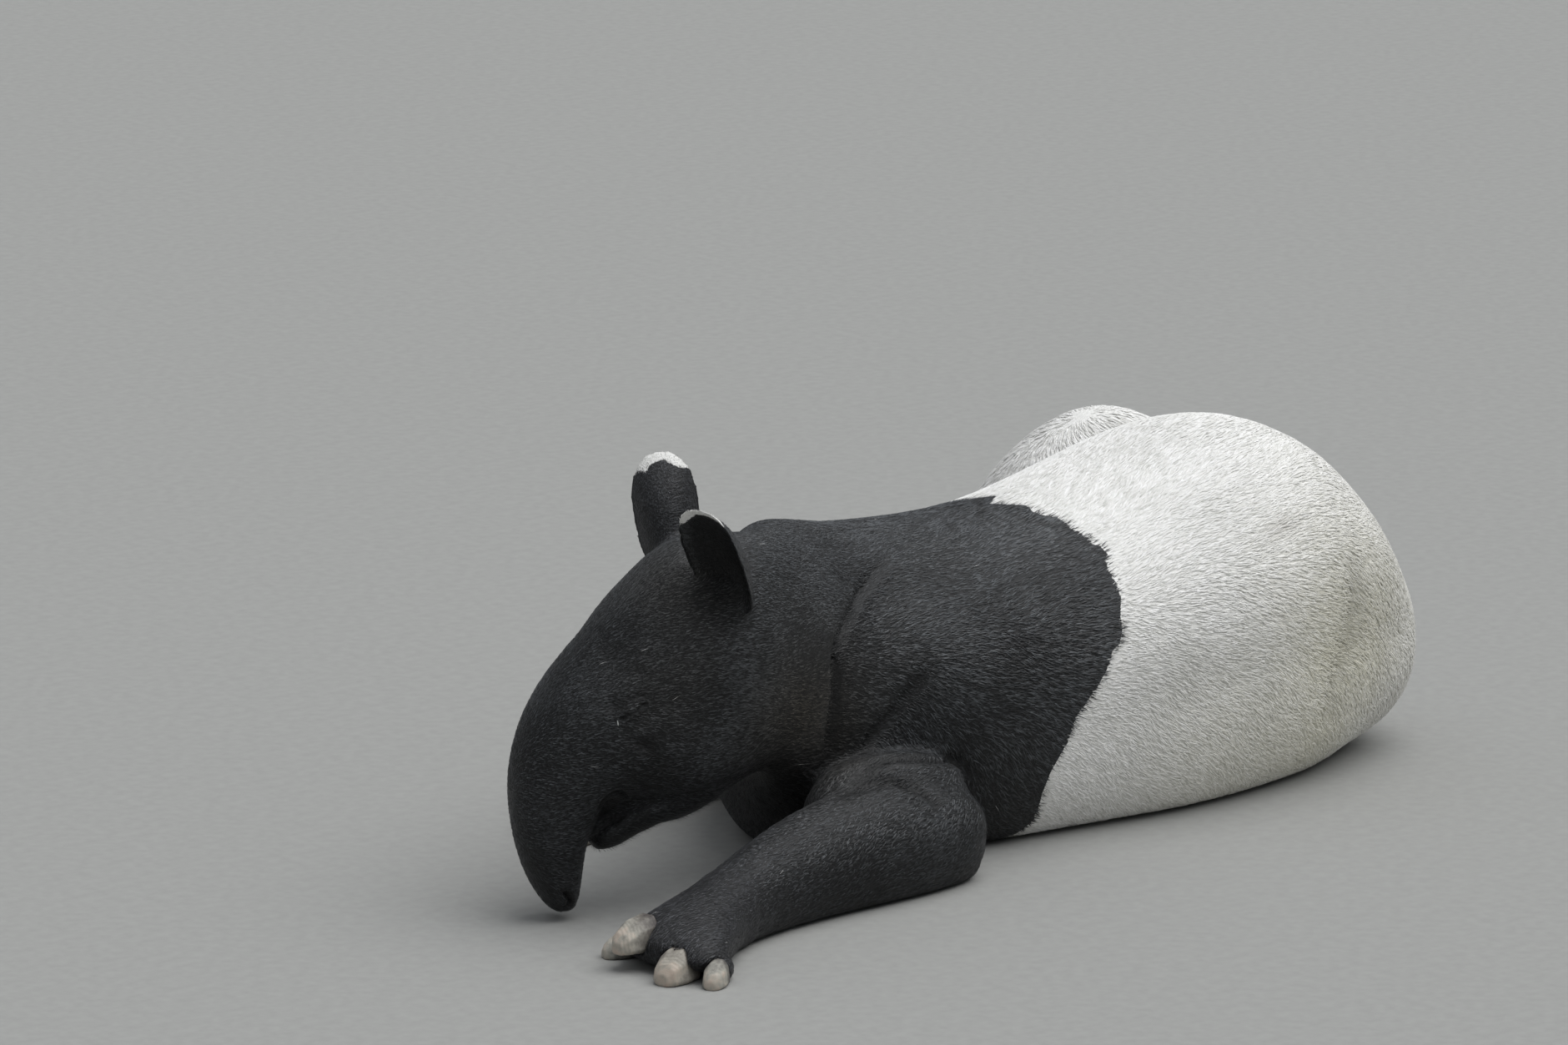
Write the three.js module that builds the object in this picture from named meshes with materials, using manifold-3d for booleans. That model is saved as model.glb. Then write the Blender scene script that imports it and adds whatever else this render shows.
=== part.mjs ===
// Malayan tapir lying at rest on its chest, life size, in millimetres.
// +X runs to the rump, +Y to the animal's right, +Z up, and the floor is z = 0.
import * as THREE from 'three';
import Module from 'manifold-3d';

const wasm = await Module();
wasm.setup();

// Driving dimensions
const gap = 0.3;                 // clearance between neighbouring bodies
const snoutTip = [-680, -122, 6];
const headLength = 480;          // from the poll to the tip of the trunk
const headDown = 68;             // pitch of the head below level, degrees
const headTurn = 17;             // turn of the face towards the animal's right, degrees
const earLength = 158;
const earWidth = 82;
const earThickness = 7;
const eyeRadius = 14;
const eyeBulge = 7;
const lidThickness = 3.5;
const slitLength = 42;
const slitHeight = 4.2;
const tailLength = 90;

// Coat and horn colours
const blackCoat = new THREE.MeshStandardMaterial({ name: 'black_coat', color: 0x2e2f33, roughness: 0.85 });
const whiteCoat = new THREE.MeshStandardMaterial({ name: 'white_coat', color: 0xd9dad3, roughness: 0.85 });
const hoofHorn = new THREE.MeshStandardMaterial({ name: 'hoof_horn', color: 0xa39a8c, roughness: 0.55 });
const eyeSurface = new THREE.MeshStandardMaterial({ name: 'eye', color: 0x1b1512, roughness: 0.15 });

// Small maths helpers
const add = (p, q, k = 1) => p.map((value, i) => value + q[i] * k);
const radians = (degrees) => degrees * Math.PI / 180;

// Smooth curve through the rows of a table, t from 0 to 1
function rowAt(rows, t) {
  const last = rows.length - 1;
  const place = Math.min(Math.max(t, 0), 1) * last;
  const i = Math.min(Math.floor(place), last - 1);
  const f = place - i;
  const a = rows[Math.max(i - 1, 0)];
  const b = rows[i];
  const c = rows[i + 1];
  const d = rows[Math.min(i + 2, last)];
  return b.map((value, k) => {
    const slopeIn = (c[k] - a[k]) / 2;
    const slopeOut = (d[k] - value) / 2;
    const rise = c[k] - value;
    return value + f * slopeIn
      + f * f * (3 * rise - 2 * slopeIn - slopeOut)
      + f * f * f * (slopeIn + slopeOut - 2 * rise);
  });
}

// Rounded cross-section: a unit point of a superellipse at an angle
function roundPoint(angle, power) {
  const c = Math.cos(angle);
  const s = Math.sin(angle);
  return [
    Math.sign(c) * Math.abs(c) ** (2 / power),
    Math.sign(s) * Math.abs(s) ** (2 / power),
  ];
}

// Closed surface through rings of points, with both ends closed to their centres
function surfaceThroughRings(rings) {
  const around = rings[0].length;
  const points = rings.flat();
  const triangles = [];
  for (let i = 0; i + 1 < rings.length; i += 1) {
    for (let j = 0; j < around; j += 1) {
      const a = i * around + j;
      const b = i * around + (j + 1) % around;
      triangles.push([a, b, b + around], [a, b + around, a + around]);
    }
  }
  const middle = (ring) => ring.reduce((sum, p) => add(sum, p), [0, 0, 0]).map((v) => v / around);
  const first = points.push(middle(rings[0])) - 1;
  const end = points.push(middle(rings.at(-1))) - 1;
  const lastRing = (rings.length - 1) * around;
  for (let j = 0; j < around; j += 1) {
    const next = (j + 1) % around;
    triangles.push([first, next, j], [end, lastRing + j, lastRing + next]);
  }
  return { points, triangles };
}

// Vertex normals of a closed surface, area weighted
function normalsOf({ points, triangles }) {
  const sums = points.map(() => new THREE.Vector3());
  const edge = new THREE.Vector3();
  const side = new THREE.Vector3();
  for (const [a, b, c] of triangles) {
    edge.set(...add(points[b], points[a], -1));
    side.set(...add(points[c], points[a], -1));
    edge.cross(side);
    sums[a].add(edge);
    sums[b].add(edge);
    sums[c].add(edge);
  }
  return sums.map((sum) => sum.normalize().toArray());
}

// Signed volume tells whether the faces look outwards
function facingOut(surface) {
  let volume = 0;
  for (const [a, b, c] of surface.triangles) {
    const [p, q, r] = [surface.points[a], surface.points[b], surface.points[c]];
    volume += new THREE.Vector3(...p).dot(new THREE.Vector3(...q).cross(new THREE.Vector3(...r)));
  }
  const triangles = volume < 0 ? surface.triangles.map(([a, b, c]) => [a, c, b]) : surface.triangles;
  return { points: surface.points, triangles };
}

// Muscle and hollow: push the surface out (or in) around a place
function swell(surface, forms) {
  let { points } = surface;
  for (const { at, reach, push } of forms) {
    const normals = normalsOf({ points, triangles: surface.triangles });
    points = points.map((p, i) => {
      const away = p.reduce((sum, value, k) => sum + ((value - at[k]) / reach[k]) ** 2, 0);
      return away < 1 ? add(p, normals[i], push * (1 - away) ** 2) : p;
    });
  }
  return { points, triangles: surface.triangles };
}

// Solid bodies
function solid(surface) {
  const { points, triangles } = facingOut(surface);
  return new wasm.Manifold(new wasm.Mesh({
    numProp: 3,
    vertProperties: Float32Array.from(points.flat()),
    triVerts: Uint32Array.from(triangles.flat()),
  }));
}

function surfaceOf(body) {
  const mesh = body.getMesh();
  const points = [];
  for (let i = 0; i < mesh.numVert; i += 1) {
    points.push([0, 1, 2].map((k) => mesh.vertProperties[i * mesh.numProp + k]));
  }
  const triangles = [];
  for (let i = 0; i < mesh.numTri; i += 1) {
    triangles.push([0, 1, 2].map((k) => mesh.triVerts[i * 3 + k]));
  }
  return { points, triangles };
}

function solidOfGeometry(geometry, matrix = new THREE.Matrix4()) {
  const welded = new Map();
  const points = [];
  const position = geometry.attributes.position;
  const names = [];
  for (let i = 0; i < position.count; i += 1) {
    const p = new THREE.Vector3().fromBufferAttribute(position, i).applyMatrix4(matrix);
    const key = p.toArray().map((v) => Math.round(v * 1e4)).join();
    if (!welded.has(key)) welded.set(key, points.push(p.toArray()) - 1);
    names.push(welded.get(key));
  }
  const index = geometry.index ? [...geometry.index.array] : names.map((_, i) => i);
  const triangles = [];
  for (let i = 0; i < index.length; i += 3) {
    const corner = [0, 1, 2].map((k) => names[index[i + k]]);
    if (new Set(corner).size === 3) triangles.push(corner);
  }
  return solid({ points, triangles });
}

// The same body with every face moved out by the gap
function grown(body, by = gap) {
  const surface = surfaceOf(body);
  const normals = normalsOf(surface).map((n) => new THREE.Vector3(...n));
  const share = normals.map(() => 1);
  const face = new THREE.Triangle();
  const facing = new THREE.Vector3();
  for (const corners of surface.triangles) {
    face.set(...corners.map((i) => new THREE.Vector3(...surface.points[i])));
    face.getNormal(facing);
    for (const i of corners) share[i] = Math.min(share[i], Math.max(normals[i].dot(facing), 0.3));
  }
  const points = surface.points.map((p, i) => add(p, normals[i].toArray(), by / share[i]));
  return solid({ points, triangles: surface.triangles });
}

// What is left of a body beside another one, with the gap between them
function besides(body, other) {
  return body.subtract(grown(other)).subtract(other);
}

function largest(body) {
  return body.decompose().sort((a, b) => b.volume() - a.volume())[0];
}

function block(size, centre) {
  return solidOfGeometry(new THREE.BoxGeometry(...size), new THREE.Matrix4().makeTranslation(...centre));
}

// An egg-shaped body: radii along its own axes, turned in degrees about X, then Y, then Z
function egg(centre, radii, turn = [0, 0, 0], detail = [20, 14]) {
  const matrix = new THREE.Matrix4().compose(
    new THREE.Vector3(...centre),
    new THREE.Quaternion().setFromEuler(new THREE.Euler(...turn.map(radians), 'ZYX')),
    new THREE.Vector3(...radii),
  );
  return solidOfGeometry(new THREE.SphereGeometry(1, ...detail), matrix);
}

const floor = block([4000, 4000, 800], [0, 0, -400]);

// Forms that lie along the floor: upright cross-sections along a plan line.
// Row: x, y, turn of the section, half width left, half width right,
// top, bottom, height of the widest part, fullness above, fullness below, lean of the top
function lyingForm(rows, around, along, forms = []) {
  const rings = [];
  for (let i = 0; i < along; i += 1) {
    const [x, y, turn, left, right, top, bottom, widest, above, below, lean] = rowAt(rows, i / (along - 1));
    const side = [-Math.sin(radians(turn)), Math.cos(radians(turn))];
    rings.push(Array.from({ length: around }, (_, j) => {
      const angle = (j / around) * 2 * Math.PI;
      const [c, s] = roundPoint(angle, Math.sin(angle) > 0 ? above : below);
      const up = s > 0 ? (top - widest) * s : (widest - bottom) * s;
      const out = (c > 0 ? right : left) * c + (s > 0 ? lean * s : 0);
      return [x + side[0] * out, y + side[1] * out, widest + up];
    }));
  }
  return solid(swell(surfaceThroughRings(rings), forms)).subtract(floor);
}

// Trunk and neck, from inside the head to the rump
const trunk = lyingForm([
  [-505, -192, -17, 62, 60, 440, 215, 320, 2.0, 2.0, 0],
  [-465, -190, -17, 80, 76, 462, 172, 316, 2.1, 2.1, 0],
  [-420, -168, -8, 90, 80, 466, 130, 300, 2.1, 2.1, 0],
  [-365, -116, 10, 124, 96, 456, 72, 262, 2.0, 2.0, 0],
  [-305, -78, 16, 158, 132, 442, 5, 220, 2.0, 2.1, 0],
  [-235, -48, 14, 194, 172, 424, -30, 195, 2.0, 2.4, 0],
  [-155, -30, 8, 228, 212, 404, -40, 180, 2.1, 2.6, 0],
  [-70, -18, 3, 252, 235, 391, -45, 174, 2.2, 2.8, -4],
  [20, -12, 0, 266, 250, 384, -50, 172, 2.2, 2.8, -12],
  [110, -10, 0, 278, 262, 386, -55, 174, 2.2, 2.8, -24],
  [205, -10, 0, 290, 270, 403, -60, 178, 2.2, 2.8, -36],
  [305, -10, 0, 296, 274, 432, -60, 184, 2.2, 2.7, -46],
  [405, -10, 0, 292, 270, 460, -55, 190, 2.2, 2.6, -54],
  [495, -12, 0, 280, 260, 456, -45, 190, 2.2, 2.5, -58],
  [566, -14, 0, 256, 242, 410, -30, 184, 2.1, 2.4, -54],
  [626, -18, 0, 222, 214, 350, -15, 174, 2.1, 2.3, -44],
  [677, -22, 0, 180, 176, 288, 10, 162, 2.0, 2.2, -32],
  [715, -27, 0, 132, 130, 234, 45, 150, 2.0, 2.0, -20],
  [739, -30, 0, 79, 78, 194, 86, 144, 2.0, 2.0, -10],
  [749, -32, 0, 30, 30, 162, 122, 142, 2.0, 2.0, 0],
], 42, 32, [
  { at: [-130, -215, 235], reach: [150, 120, 160], push: 20 },
  { at: [-250, -150, 330], reach: [80, 110, 120], push: -14 },
  { at: [670, -170, 100], reach: [120, 140, 150], push: 16 },
  { at: [650, -100, 300], reach: [80, 120, 95], push: -12 },
  { at: [470, -300, 190], reach: [45, 90, 190], push: -8 },
]);

// Head: sections set by a point on the profile above and one below, in the plane of
// symmetry. Along the head from the poll, then out towards the forehead.
const forward = [
  -Math.cos(radians(headDown)) * Math.cos(radians(headTurn - 4)),
  Math.cos(radians(headDown)) * Math.sin(radians(headTurn - 4)),
  -Math.sin(radians(headDown)),
];
const rightOfHead = new THREE.Vector3(Math.sin(radians(headTurn)), Math.cos(radians(headTurn)), 0)
  .addScaledVector(new THREE.Vector3(...forward), -(
    Math.sin(radians(headTurn)) * forward[0] + Math.cos(radians(headTurn)) * forward[1]
  )).normalize().toArray();
const brow = new THREE.Vector3(...rightOfHead).cross(new THREE.Vector3(...forward)).toArray();
const poll = add(snoutTip, forward, -headLength);
const onHead = (along, out, side = 0) => add(add(add(poll, forward, along), brow, out), rightOfHead, side);

const headBasis = () => new THREE.Matrix4().makeBasis(
  new THREE.Vector3(...forward),
  new THREE.Vector3(...brow),
  new THREE.Vector3(...rightOfHead),
);

// Row: along and out of the upper point, along and out of the lower point,
// half width, fullness, place of the widest part between them
function headForm(rows, around, along, forms = []) {
  const rings = [];
  for (let i = 0; i < along; i += 1) {
    const [a0, b0, a1, b1, half, power, place] = rowAt(rows, i / (along - 1));
    const [am, bm] = [a0 + (a1 - a0) * place, b0 + (b1 - b0) * place];
    rings.push(Array.from({ length: around }, (_, j) => {
      const [c, s] = roundPoint((j / around) * 2 * Math.PI, power);
      const [ae, be] = s > 0 ? [a0, b0] : [a1, b1];
      const k = Math.abs(s);
      return [am + (ae - am) * k, bm + (be - bm) * k, half * c];
    }));
  }
  const surface = swell(surfaceThroughRings(rings), forms);
  return solid({ points: surface.points.map((p) => onHead(...p)), triangles: surface.triangles });
}

const bothSides = (form) => [form, { ...form, at: [form.at[0], form.at[1], -form.at[2]] }];

const skull = headForm([
  [-38, -58, 235, -182, 84, 2.1, 0.45],
  [-22, -10, 258, -165, 91, 2.2, 0.45],
  [8, 38, 276, -142, 95, 2.3, 0.48],
  [52, 66, 292, -118, 97, 2.3, 0.52],
  [96, 88, 304, -92, 96, 2.3, 0.55],
  [140, 107, 312, -66, 91, 2.2, 0.55],
  [186, 124, 318, -42, 84, 2.2, 0.52],
  [232, 138, 326, -20, 75, 2.2, 0.5],
  [276, 144, 340, -2, 66, 2.2, 0.5],
  [318, 141, 360, 10, 59, 2.2, 0.5],
  [356, 131, 384, 12, 54, 2.2, 0.5],
  [390, 115, 406, 9, 50, 2.2, 0.5],
  [424, 94, 426, 4, 46, 2.2, 0.5],
  [454, 68, 444, 0, 42, 2.2, 0.5],
  [475, 42, 460, -3, 36, 2.2, 0.5],
  [486, 20, 474, -1, 24, 2.2, 0.5],
], 30, 25, [
  ...bothSides({ at: [150, 100, 55], reach: [55, 50, 40], push: 7 }),
  ...bothSides({ at: [205, -60, 95], reach: [95, 75, 60], push: 9 }),
  ...bothSides({ at: [262, 20, 80], reach: [55, 45, 40], push: -5 }),
  ...bothSides({ at: [212, 40, 82], reach: [30, 26, 34], push: 6 }),
]);

const jawForm = headForm([
  [205, -70, 222, -168, 50, 2.2, 0.5],
  [232, -66, 258, -150, 60, 2.3, 0.5],
  [262, -56, 294, -128, 58, 2.3, 0.5],
  [290, -40, 322, -102, 52, 2.3, 0.5],
  [312, -22, 341, -76, 46, 2.3, 0.5],
  [332, -6, 358, -52, 40, 2.3, 0.5],
  [352, 6, 376, -36, 36, 2.3, 0.5],
  [372, 12, 391, -20, 29, 2.3, 0.5],
  [386, 10, 398, -5, 16, 2.1, 0.5],
], 22, 13);

// Nostrils: short slits at the end of the trunk
const nostril = (side) => {
  const place = headBasis().setPosition(new THREE.Vector3(...onHead(474, 12, 19 * side)));
  const shape = new THREE.Matrix4().makeRotationZ(radians(25)).multiply(
    new THREE.Matrix4().makeRotationX(radians(35 * side)).scale(new THREE.Vector3(11, 10, 4)),
  );
  return solidOfGeometry(new THREE.SphereGeometry(1, 10, 6), place.multiply(shape));
};

// Closed eyes: the ball sits under the lids and shows in the slit between them
const eyeSurfaceAt = 82;
const eyePlace = (side, depth) => onHead(212, 48, side * depth);
const eyeBall = (side) => {
  const depth = eyeSurfaceAt - lidThickness - eyeBulge;
  const place = headBasis().setPosition(new THREE.Vector3(...eyePlace(side, depth)));
  const shape = new THREE.Matrix4().makeRotationZ(radians(39))
    .scale(new THREE.Vector3(eyeRadius + 3, eyeRadius, eyeBulge));
  return solidOfGeometry(new THREE.SphereGeometry(1, 12, 6), place.multiply(shape));
};
const eyeSlit = (side) => {
  const place = headBasis().setPosition(new THREE.Vector3(...eyePlace(side, eyeSurfaceAt + 1)));
  const shape = new THREE.Matrix4().makeRotationZ(radians(39))
    .scale(new THREE.Vector3(slitLength / 2, slitHeight / 2, 9));
  return solidOfGeometry(new THREE.SphereGeometry(1, 10, 6), place.multiply(shape));
};

// Ear: a cupped disc with an egg-shaped outline, its hollow side facing out.
// up runs from the root to the tip, open is the way the hollow faces.
function ear(root, up, open) {
  const y = new THREE.Vector3(...up).normalize();
  const z = new THREE.Vector3(...open).addScaledVector(y, -new THREE.Vector3(...open).dot(y)).normalize();
  const x = new THREE.Vector3().crossVectors(y, z);
  const place = new THREE.Matrix4().makeBasis(x, y, z).setPosition(new THREE.Vector3(...root));
  const around = 20;
  const layers = 4;
  const shape = (share, angle, depth) => {
    const [upward, sideways] = roundPoint(angle, 2.4);
    const w = sideways * (earWidth / 2) * (1 + 0.12 * upward);
    const h = earLength * (0.46 + 0.54 * upward);
    const centre = [0, earLength * 0.4];
    const across = centre[0] + (w - centre[0]) * share;
    const height = centre[1] + (h - centre[1]) * share;
    const low = 1 - Math.min(Math.max(height / earLength, 0), 1);
    const hollow = (24 + 16 * low) * (1 - share ** 2.4) - 12 * (Math.abs(across) / (earWidth / 2)) ** 2 * low;
    const thick = earThickness * (0.45 + 0.55 * (1 - share ** 3)) + 5 * low * (1 - share);
    return [across, height, -hollow - depth * thick];
  };
  const rings = [];
  for (let i = 1; i <= layers; i += 1) {
    rings.push(Array.from({ length: around }, (_, j) => shape(i / layers, (j / around) * 2 * Math.PI, 0)));
  }
  for (let i = layers; i >= 1; i -= 1) {
    rings.push(Array.from({ length: around }, (_, j) => shape(i / layers, (j / around) * 2 * Math.PI, 1)));
  }
  const { points, triangles } = surfaceThroughRings(rings);
  const placed = points.map((p) => new THREE.Vector3(...p).applyMatrix4(place).toArray());
  return solid({ points: placed, triangles });
}

const earRoots = { left: onHead(56, -36, -88), right: onHead(50, -20, 74) };
const earLeft = ear(earRoots.left, [-57, -7, 105], [-0.83, -0.28, -0.47]);
const earRight = ear(earRoots.right, [2, 34, 150], [0.62, 0.78, 0.05]);
const earHollow = (root, up, open) => {
  const place = add(add(root, new THREE.Vector3(...up).normalize().toArray(), 56), open, 20);
  return egg(place, [34, 34, 50], [0, 0, 0], [12, 8]);
};
const earHollows = [
  earHollow(earRoots.left, [-57, -7, 105], [-0.83, -0.28, -0.47]),
  earHollow(earRoots.right, [2, 34, 150], [0.62, 0.78, 0.05]),
];

// Hoof: a rounded wedge with a flat sole. Lengths: along the toe, across, and high.
function hoof(tip, turn, length, width, height, slope = 0) {
  const around = 10;
  const rows = [[0.02, 0.4, 0.26], [0.16, 0.76, 0.56], [0.5, 1, 0.92], [1, 0.96, 1.05]];
  const rings = rows.map(([along, wide, high]) => Array.from({ length: around }, (_, j) => {
    const [c, s] = roundPoint((j / around) * 2 * Math.PI, 2.6);
    const z = s > 0 ? s * high * height * 0.8 : s * height * 0.14;
    return [along * length, c * wide * width / 2, z + height * 0.14];
  }));
  const { points, triangles } = surfaceThroughRings(rings);
  const matrix = new THREE.Matrix4().makeTranslation(...tip)
    .multiply(new THREE.Matrix4().makeRotationZ(radians(turn)))
    .multiply(new THREE.Matrix4().makeRotationY(radians(-slope)));
  const placed = points.map((p) => new THREE.Vector3(...p).applyMatrix4(matrix).toArray());
  return solid({ points: placed, triangles }).subtract(floor);
}

// Where each hoof stands: tip, turn of the toe, length, width and height
const claws = {
  foreleft: [
    [[-764, -294, -1], -14, 46, 34, 36], [[-790, -352, 22], 4, 54, 46, 44],
    [[-786, -432, -1], 14, 52, 46, 46], [[-752, -484, -1], 34, 36, 30, 34],
  ],
  foreright: [
    [[-476, 122, -1], 26, 42, 32, 34], [[-500, 156, -1], 16, 50, 44, 42],
    [[-496, 202, -1], 8, 46, 40, 40], [[-464, 238, -1], -6, 34, 28, 32],
  ],
  hindright: [
    [[336, 392, -1], 10, 44, 34, 36], [[322, 430, -1], 2, 52, 46, 44], [[338, 468, -1], -8, 44, 34, 36],
  ],
  hindleft: [
    [[108, 286, -1], -40, 44, 34, 36], [[80, 330, -1], -46, 52, 46, 44], [[116, 350, -1], -58, 44, 34, 36],
  ],
};
const toeNames = ['a', 'b', 'c', 'd'];

// Upright cut midway between two toes, so that their hooves stand apart
function apartFrom(body, here, there) {
  const [a, b] = [here, there].map(([tip, turn, length]) => (
    add(tip, [Math.cos(radians(turn)), Math.sin(radians(turn)), 0], length * 0.7)
  ));
  const matrix = new THREE.Matrix4().makeTranslation((a[0] + b[0]) / 2, (a[1] + b[1]) / 2, 0)
    .multiply(new THREE.Matrix4().makeRotationZ(Math.atan2(b[1] - a[1], b[0] - a[0])))
    .multiply(new THREE.Matrix4().makeTranslation(200 - gap / 2, 0, 0));
  return body.subtract(solidOfGeometry(new THREE.BoxGeometry(400, 400, 400), matrix));
}

const hoovesOf = (rows) => rows.map((row, i) => (
  rows.filter((_, k) => Math.abs(k - i) === 1).reduce((body, other) => apartFrom(body, row, other), hoof(...row))
));

// Foot with a fleshy toe behind each hoof
function withToes(foot, rows) {
  return rows.reduce((flesh, [tip, turn, length, width, height]) => {
    const out = [Math.cos(radians(turn)), Math.sin(radians(turn)), 0];
    const centre = add([tip[0], tip[1], tip[2] + height * 0.42], out, length * 1.25);
    return flesh.add(egg(centre, [length * 0.85, width * 0.56, height * 0.56], [0, 0, turn], [8, 6]));
  }, foot).subtract(floor);
}

// Left foreleg, stretched forward on the floor beside the head
const legLeft = lyingForm([
  [-152, -282, 0, 12, 12, 76, 40, 60, 2, 2, 0],
  [-160, -284, 0, 32, 34, 96, 14, 62, 2, 2, 0],
  [-188, -287, 0, 52, 54, 118, -20, 64, 2.1, 2.2, 0],
  [-240, -290, 0, 62, 62, 135, -25, 66, 2.1, 2.3, 0],
  [-310, -293, 0, 65, 62, 145, -25, 66, 2.1, 2.3, 0],
  [-380, -296, 2, 63, 60, 144, -22, 64, 2.1, 2.3, 0],
  [-450, -301, 4, 59, 56, 134, -20, 60, 2.1, 2.3, 0],
  [-520, -311, 8, 54, 51, 116, -18, 52, 2.1, 2.3, 0],
  [-585, -328, 14, 51, 48, 98, -14, 44, 2.1, 2.3, 0],
  [-630, -344, 14, 53, 49, 86, -8, 40, 2.1, 2.3, 0],
  [-668, -359, 12, 64, 58, 80, -8, 34, 2.1, 2.4, 0],
  [-702, -372, 10, 78, 68, 72, -4, 30, 2.1, 2.4, 0],
  [-731, -382, 8, 86, 74, 62, 2, 28, 2.1, 2.3, 0],
  [-752, -388, 6, 80, 70, 50, 8, 26, 2.1, 2.2, 0],
  [-764, -390, 4, 56, 50, 38, 14, 26, 2, 2, 0],
], 22, 24);

// Roll of skin and muscle above the left elbow
const upperArmLeft = lyingForm([
  [-164, -262, 0, 10, 10, 106, 60, 85, 2, 2, 0],
  [-170, -262, 0, 30, 34, 132, 20, 85, 2, 2, 0],
  [-196, -262, 0, 52, 56, 154, -15, 85, 2, 2.2, 0],
  [-250, -262, 0, 64, 66, 170, -20, 85, 2, 2.2, 0],
  [-310, -258, 2, 62, 62, 172, -15, 88, 2, 2.2, 0],
  [-364, -250, 4, 48, 48, 156, 10, 90, 2, 2, 0],
  [-392, -244, 6, 22, 22, 130, 60, 95, 2, 2, 0],
], 18, 11);

// Right foreleg, stretched forward behind the head
const legRight = lyingForm([
  [16, 262, 0, 12, 12, 86, 44, 66, 2, 2, 0],
  [4, 262, 0, 36, 36, 114, 14, 68, 2, 2, 0],
  [-28, 260, 4, 56, 56, 144, -20, 72, 2.1, 2.2, 0],
  [-83, 256, 6, 66, 66, 164, -25, 74, 2.1, 2.3, 0],
  [-148, 248, 8, 64, 66, 158, -25, 70, 2.1, 2.3, 0],
  [-213, 236, 10, 58, 60, 138, -22, 62, 2.1, 2.3, 0],
  [-273, 222, 12, 52, 54, 116, -20, 54, 2.1, 2.3, 0],
  [-328, 208, 12, 47, 49, 96, -16, 44, 2.1, 2.3, 0],
  [-368, 199, 12, 47, 49, 84, -8, 38, 2.1, 2.3, 0],
  [-403, 191, 12, 56, 58, 76, -6, 32, 2.1, 2.4, 0],
  [-433, 184, 12, 64, 66, 66, -2, 28, 2.1, 2.4, 0],
  [-456, 179, 12, 60, 62, 53, 4, 26, 2.1, 2.2, 0],
  [-468, 177, 12, 42, 44, 38, 12, 24, 2, 2, 0],
], 20, 20);

// Hindquarters rolled on the left hip: the right thigh stands up, its leg folded beside it
const thighRight = lyingForm([
  [318, 284, 0, 14, 14, 225, 175, 200, 2, 2, 0],
  [328, 280, 0, 46, 46, 285, 110, 200, 2, 2, -6],
  [354, 268, 0, 76, 74, 345, 60, 205, 2, 2, -20],
  [398, 252, 0, 100, 92, 398, 20, 210, 2, 2.1, -30],
  [456, 236, 0, 112, 104, 428, -5, 210, 2, 2.2, -36],
  [518, 222, 0, 112, 106, 424, -15, 205, 2, 2.2, -34],
  [574, 200, 0, 102, 98, 394, -10, 192, 2, 2.2, -28],
  [622, 168, 0, 82, 84, 340, 10, 180, 2, 2.1, -20],
  [660, 136, 0, 54, 60, 280, 50, 172, 2, 2, -10],
  [680, 120, 0, 22, 26, 216, 126, 170, 2, 2, 0],
], 22, 15);
const shankRight = lyingForm([
  [262, 296, -6, 12, 12, 120, 70, 95, 2, 2, 0],
  [274, 297, -6, 40, 38, 158, 20, 92, 2, 2, 0],
  [308, 302, -6, 58, 54, 188, -15, 90, 2, 2.2, 0],
  [374, 312, -8, 60, 56, 176, -20, 80, 2, 2.2, 0],
  [450, 324, -8, 52, 50, 142, -18, 66, 2, 2.2, 0],
  [526, 336, -8, 42, 42, 108, -14, 52, 2, 2.2, 0],
  [592, 346, -8, 36, 36, 92, -10, 46, 2, 2.2, 0],
  [638, 353, -8, 32, 32, 84, -6, 44, 2, 2.1, 0],
  [662, 356, -8, 16, 16, 64, 22, 44, 2, 2, 0],
], 18, 14);
const footHindRight = lyingForm([
  [646, 394, 8, 12, 12, 56, 20, 38, 2, 2, 0],
  [634, 396, 8, 26, 26, 72, -4, 38, 2, 2.1, 0],
  [590, 402, 8, 32, 32, 76, -8, 38, 2, 2.2, 0],
  [520, 412, 8, 34, 34, 70, -8, 36, 2, 2.2, 0],
  [450, 420, 6, 40, 40, 66, -8, 34, 2, 2.3, 0],
  [398, 426, 4, 52, 52, 62, -4, 30, 2, 2.3, 0],
  [370, 428, 4, 52, 52, 50, 4, 26, 2, 2.2, 0],
  [358, 429, 4, 34, 34, 36, 14, 26, 2, 2, 0],
], 18, 12);

// Left hind foot, coming out from under the belly on the right side
const footHindLeft = lyingForm([
  [260, 150, -30, 30, 30, 78, 10, 44, 2, 2.1, 0],
  [225, 190, -38, 36, 36, 80, -8, 42, 2, 2.2, 0],
  [190, 228, -44, 38, 38, 74, -8, 38, 2, 2.2, 0],
  [156, 262, -46, 46, 46, 66, -6, 34, 2, 2.3, 0],
  [130, 288, -46, 54, 54, 58, 0, 30, 2, 2.3, 0],
  [114, 304, -46, 48, 48, 46, 6, 26, 2, 2.2, 0],
  [107, 311, -46, 30, 30, 36, 14, 26, 2, 2, 0],
], 18, 10);

// Left haunch, pressed on the floor: the part of the rump behind the groin fold
const haunchLeft = egg([632, -190, 130], [165, 150, 205], [0, 0, 14], [20, 14]);

// Tail: a short flat stub against the rump
const tail = (() => {
  const rows = [[0, 17, 12], [0.25, 15, 11], [0.55, 12, 9], [0.8, 9, 7], [0.95, 6, 5], [1, 2.5, 2]];
  const rings = rows.map(([t, wide, deep]) => Array.from({ length: 14 }, (_, j) => {
    const angle = (j / 14) * 2 * Math.PI;
    const down = t * tailLength;
    return [
      726 + 22 * Math.sin(t * 2.2) + Math.cos(angle) * deep,
      22 + Math.sin(angle) * wide,
      246 - down,
    ];
  }));
  return solid(surfaceThroughRings(rings));
})();

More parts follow.
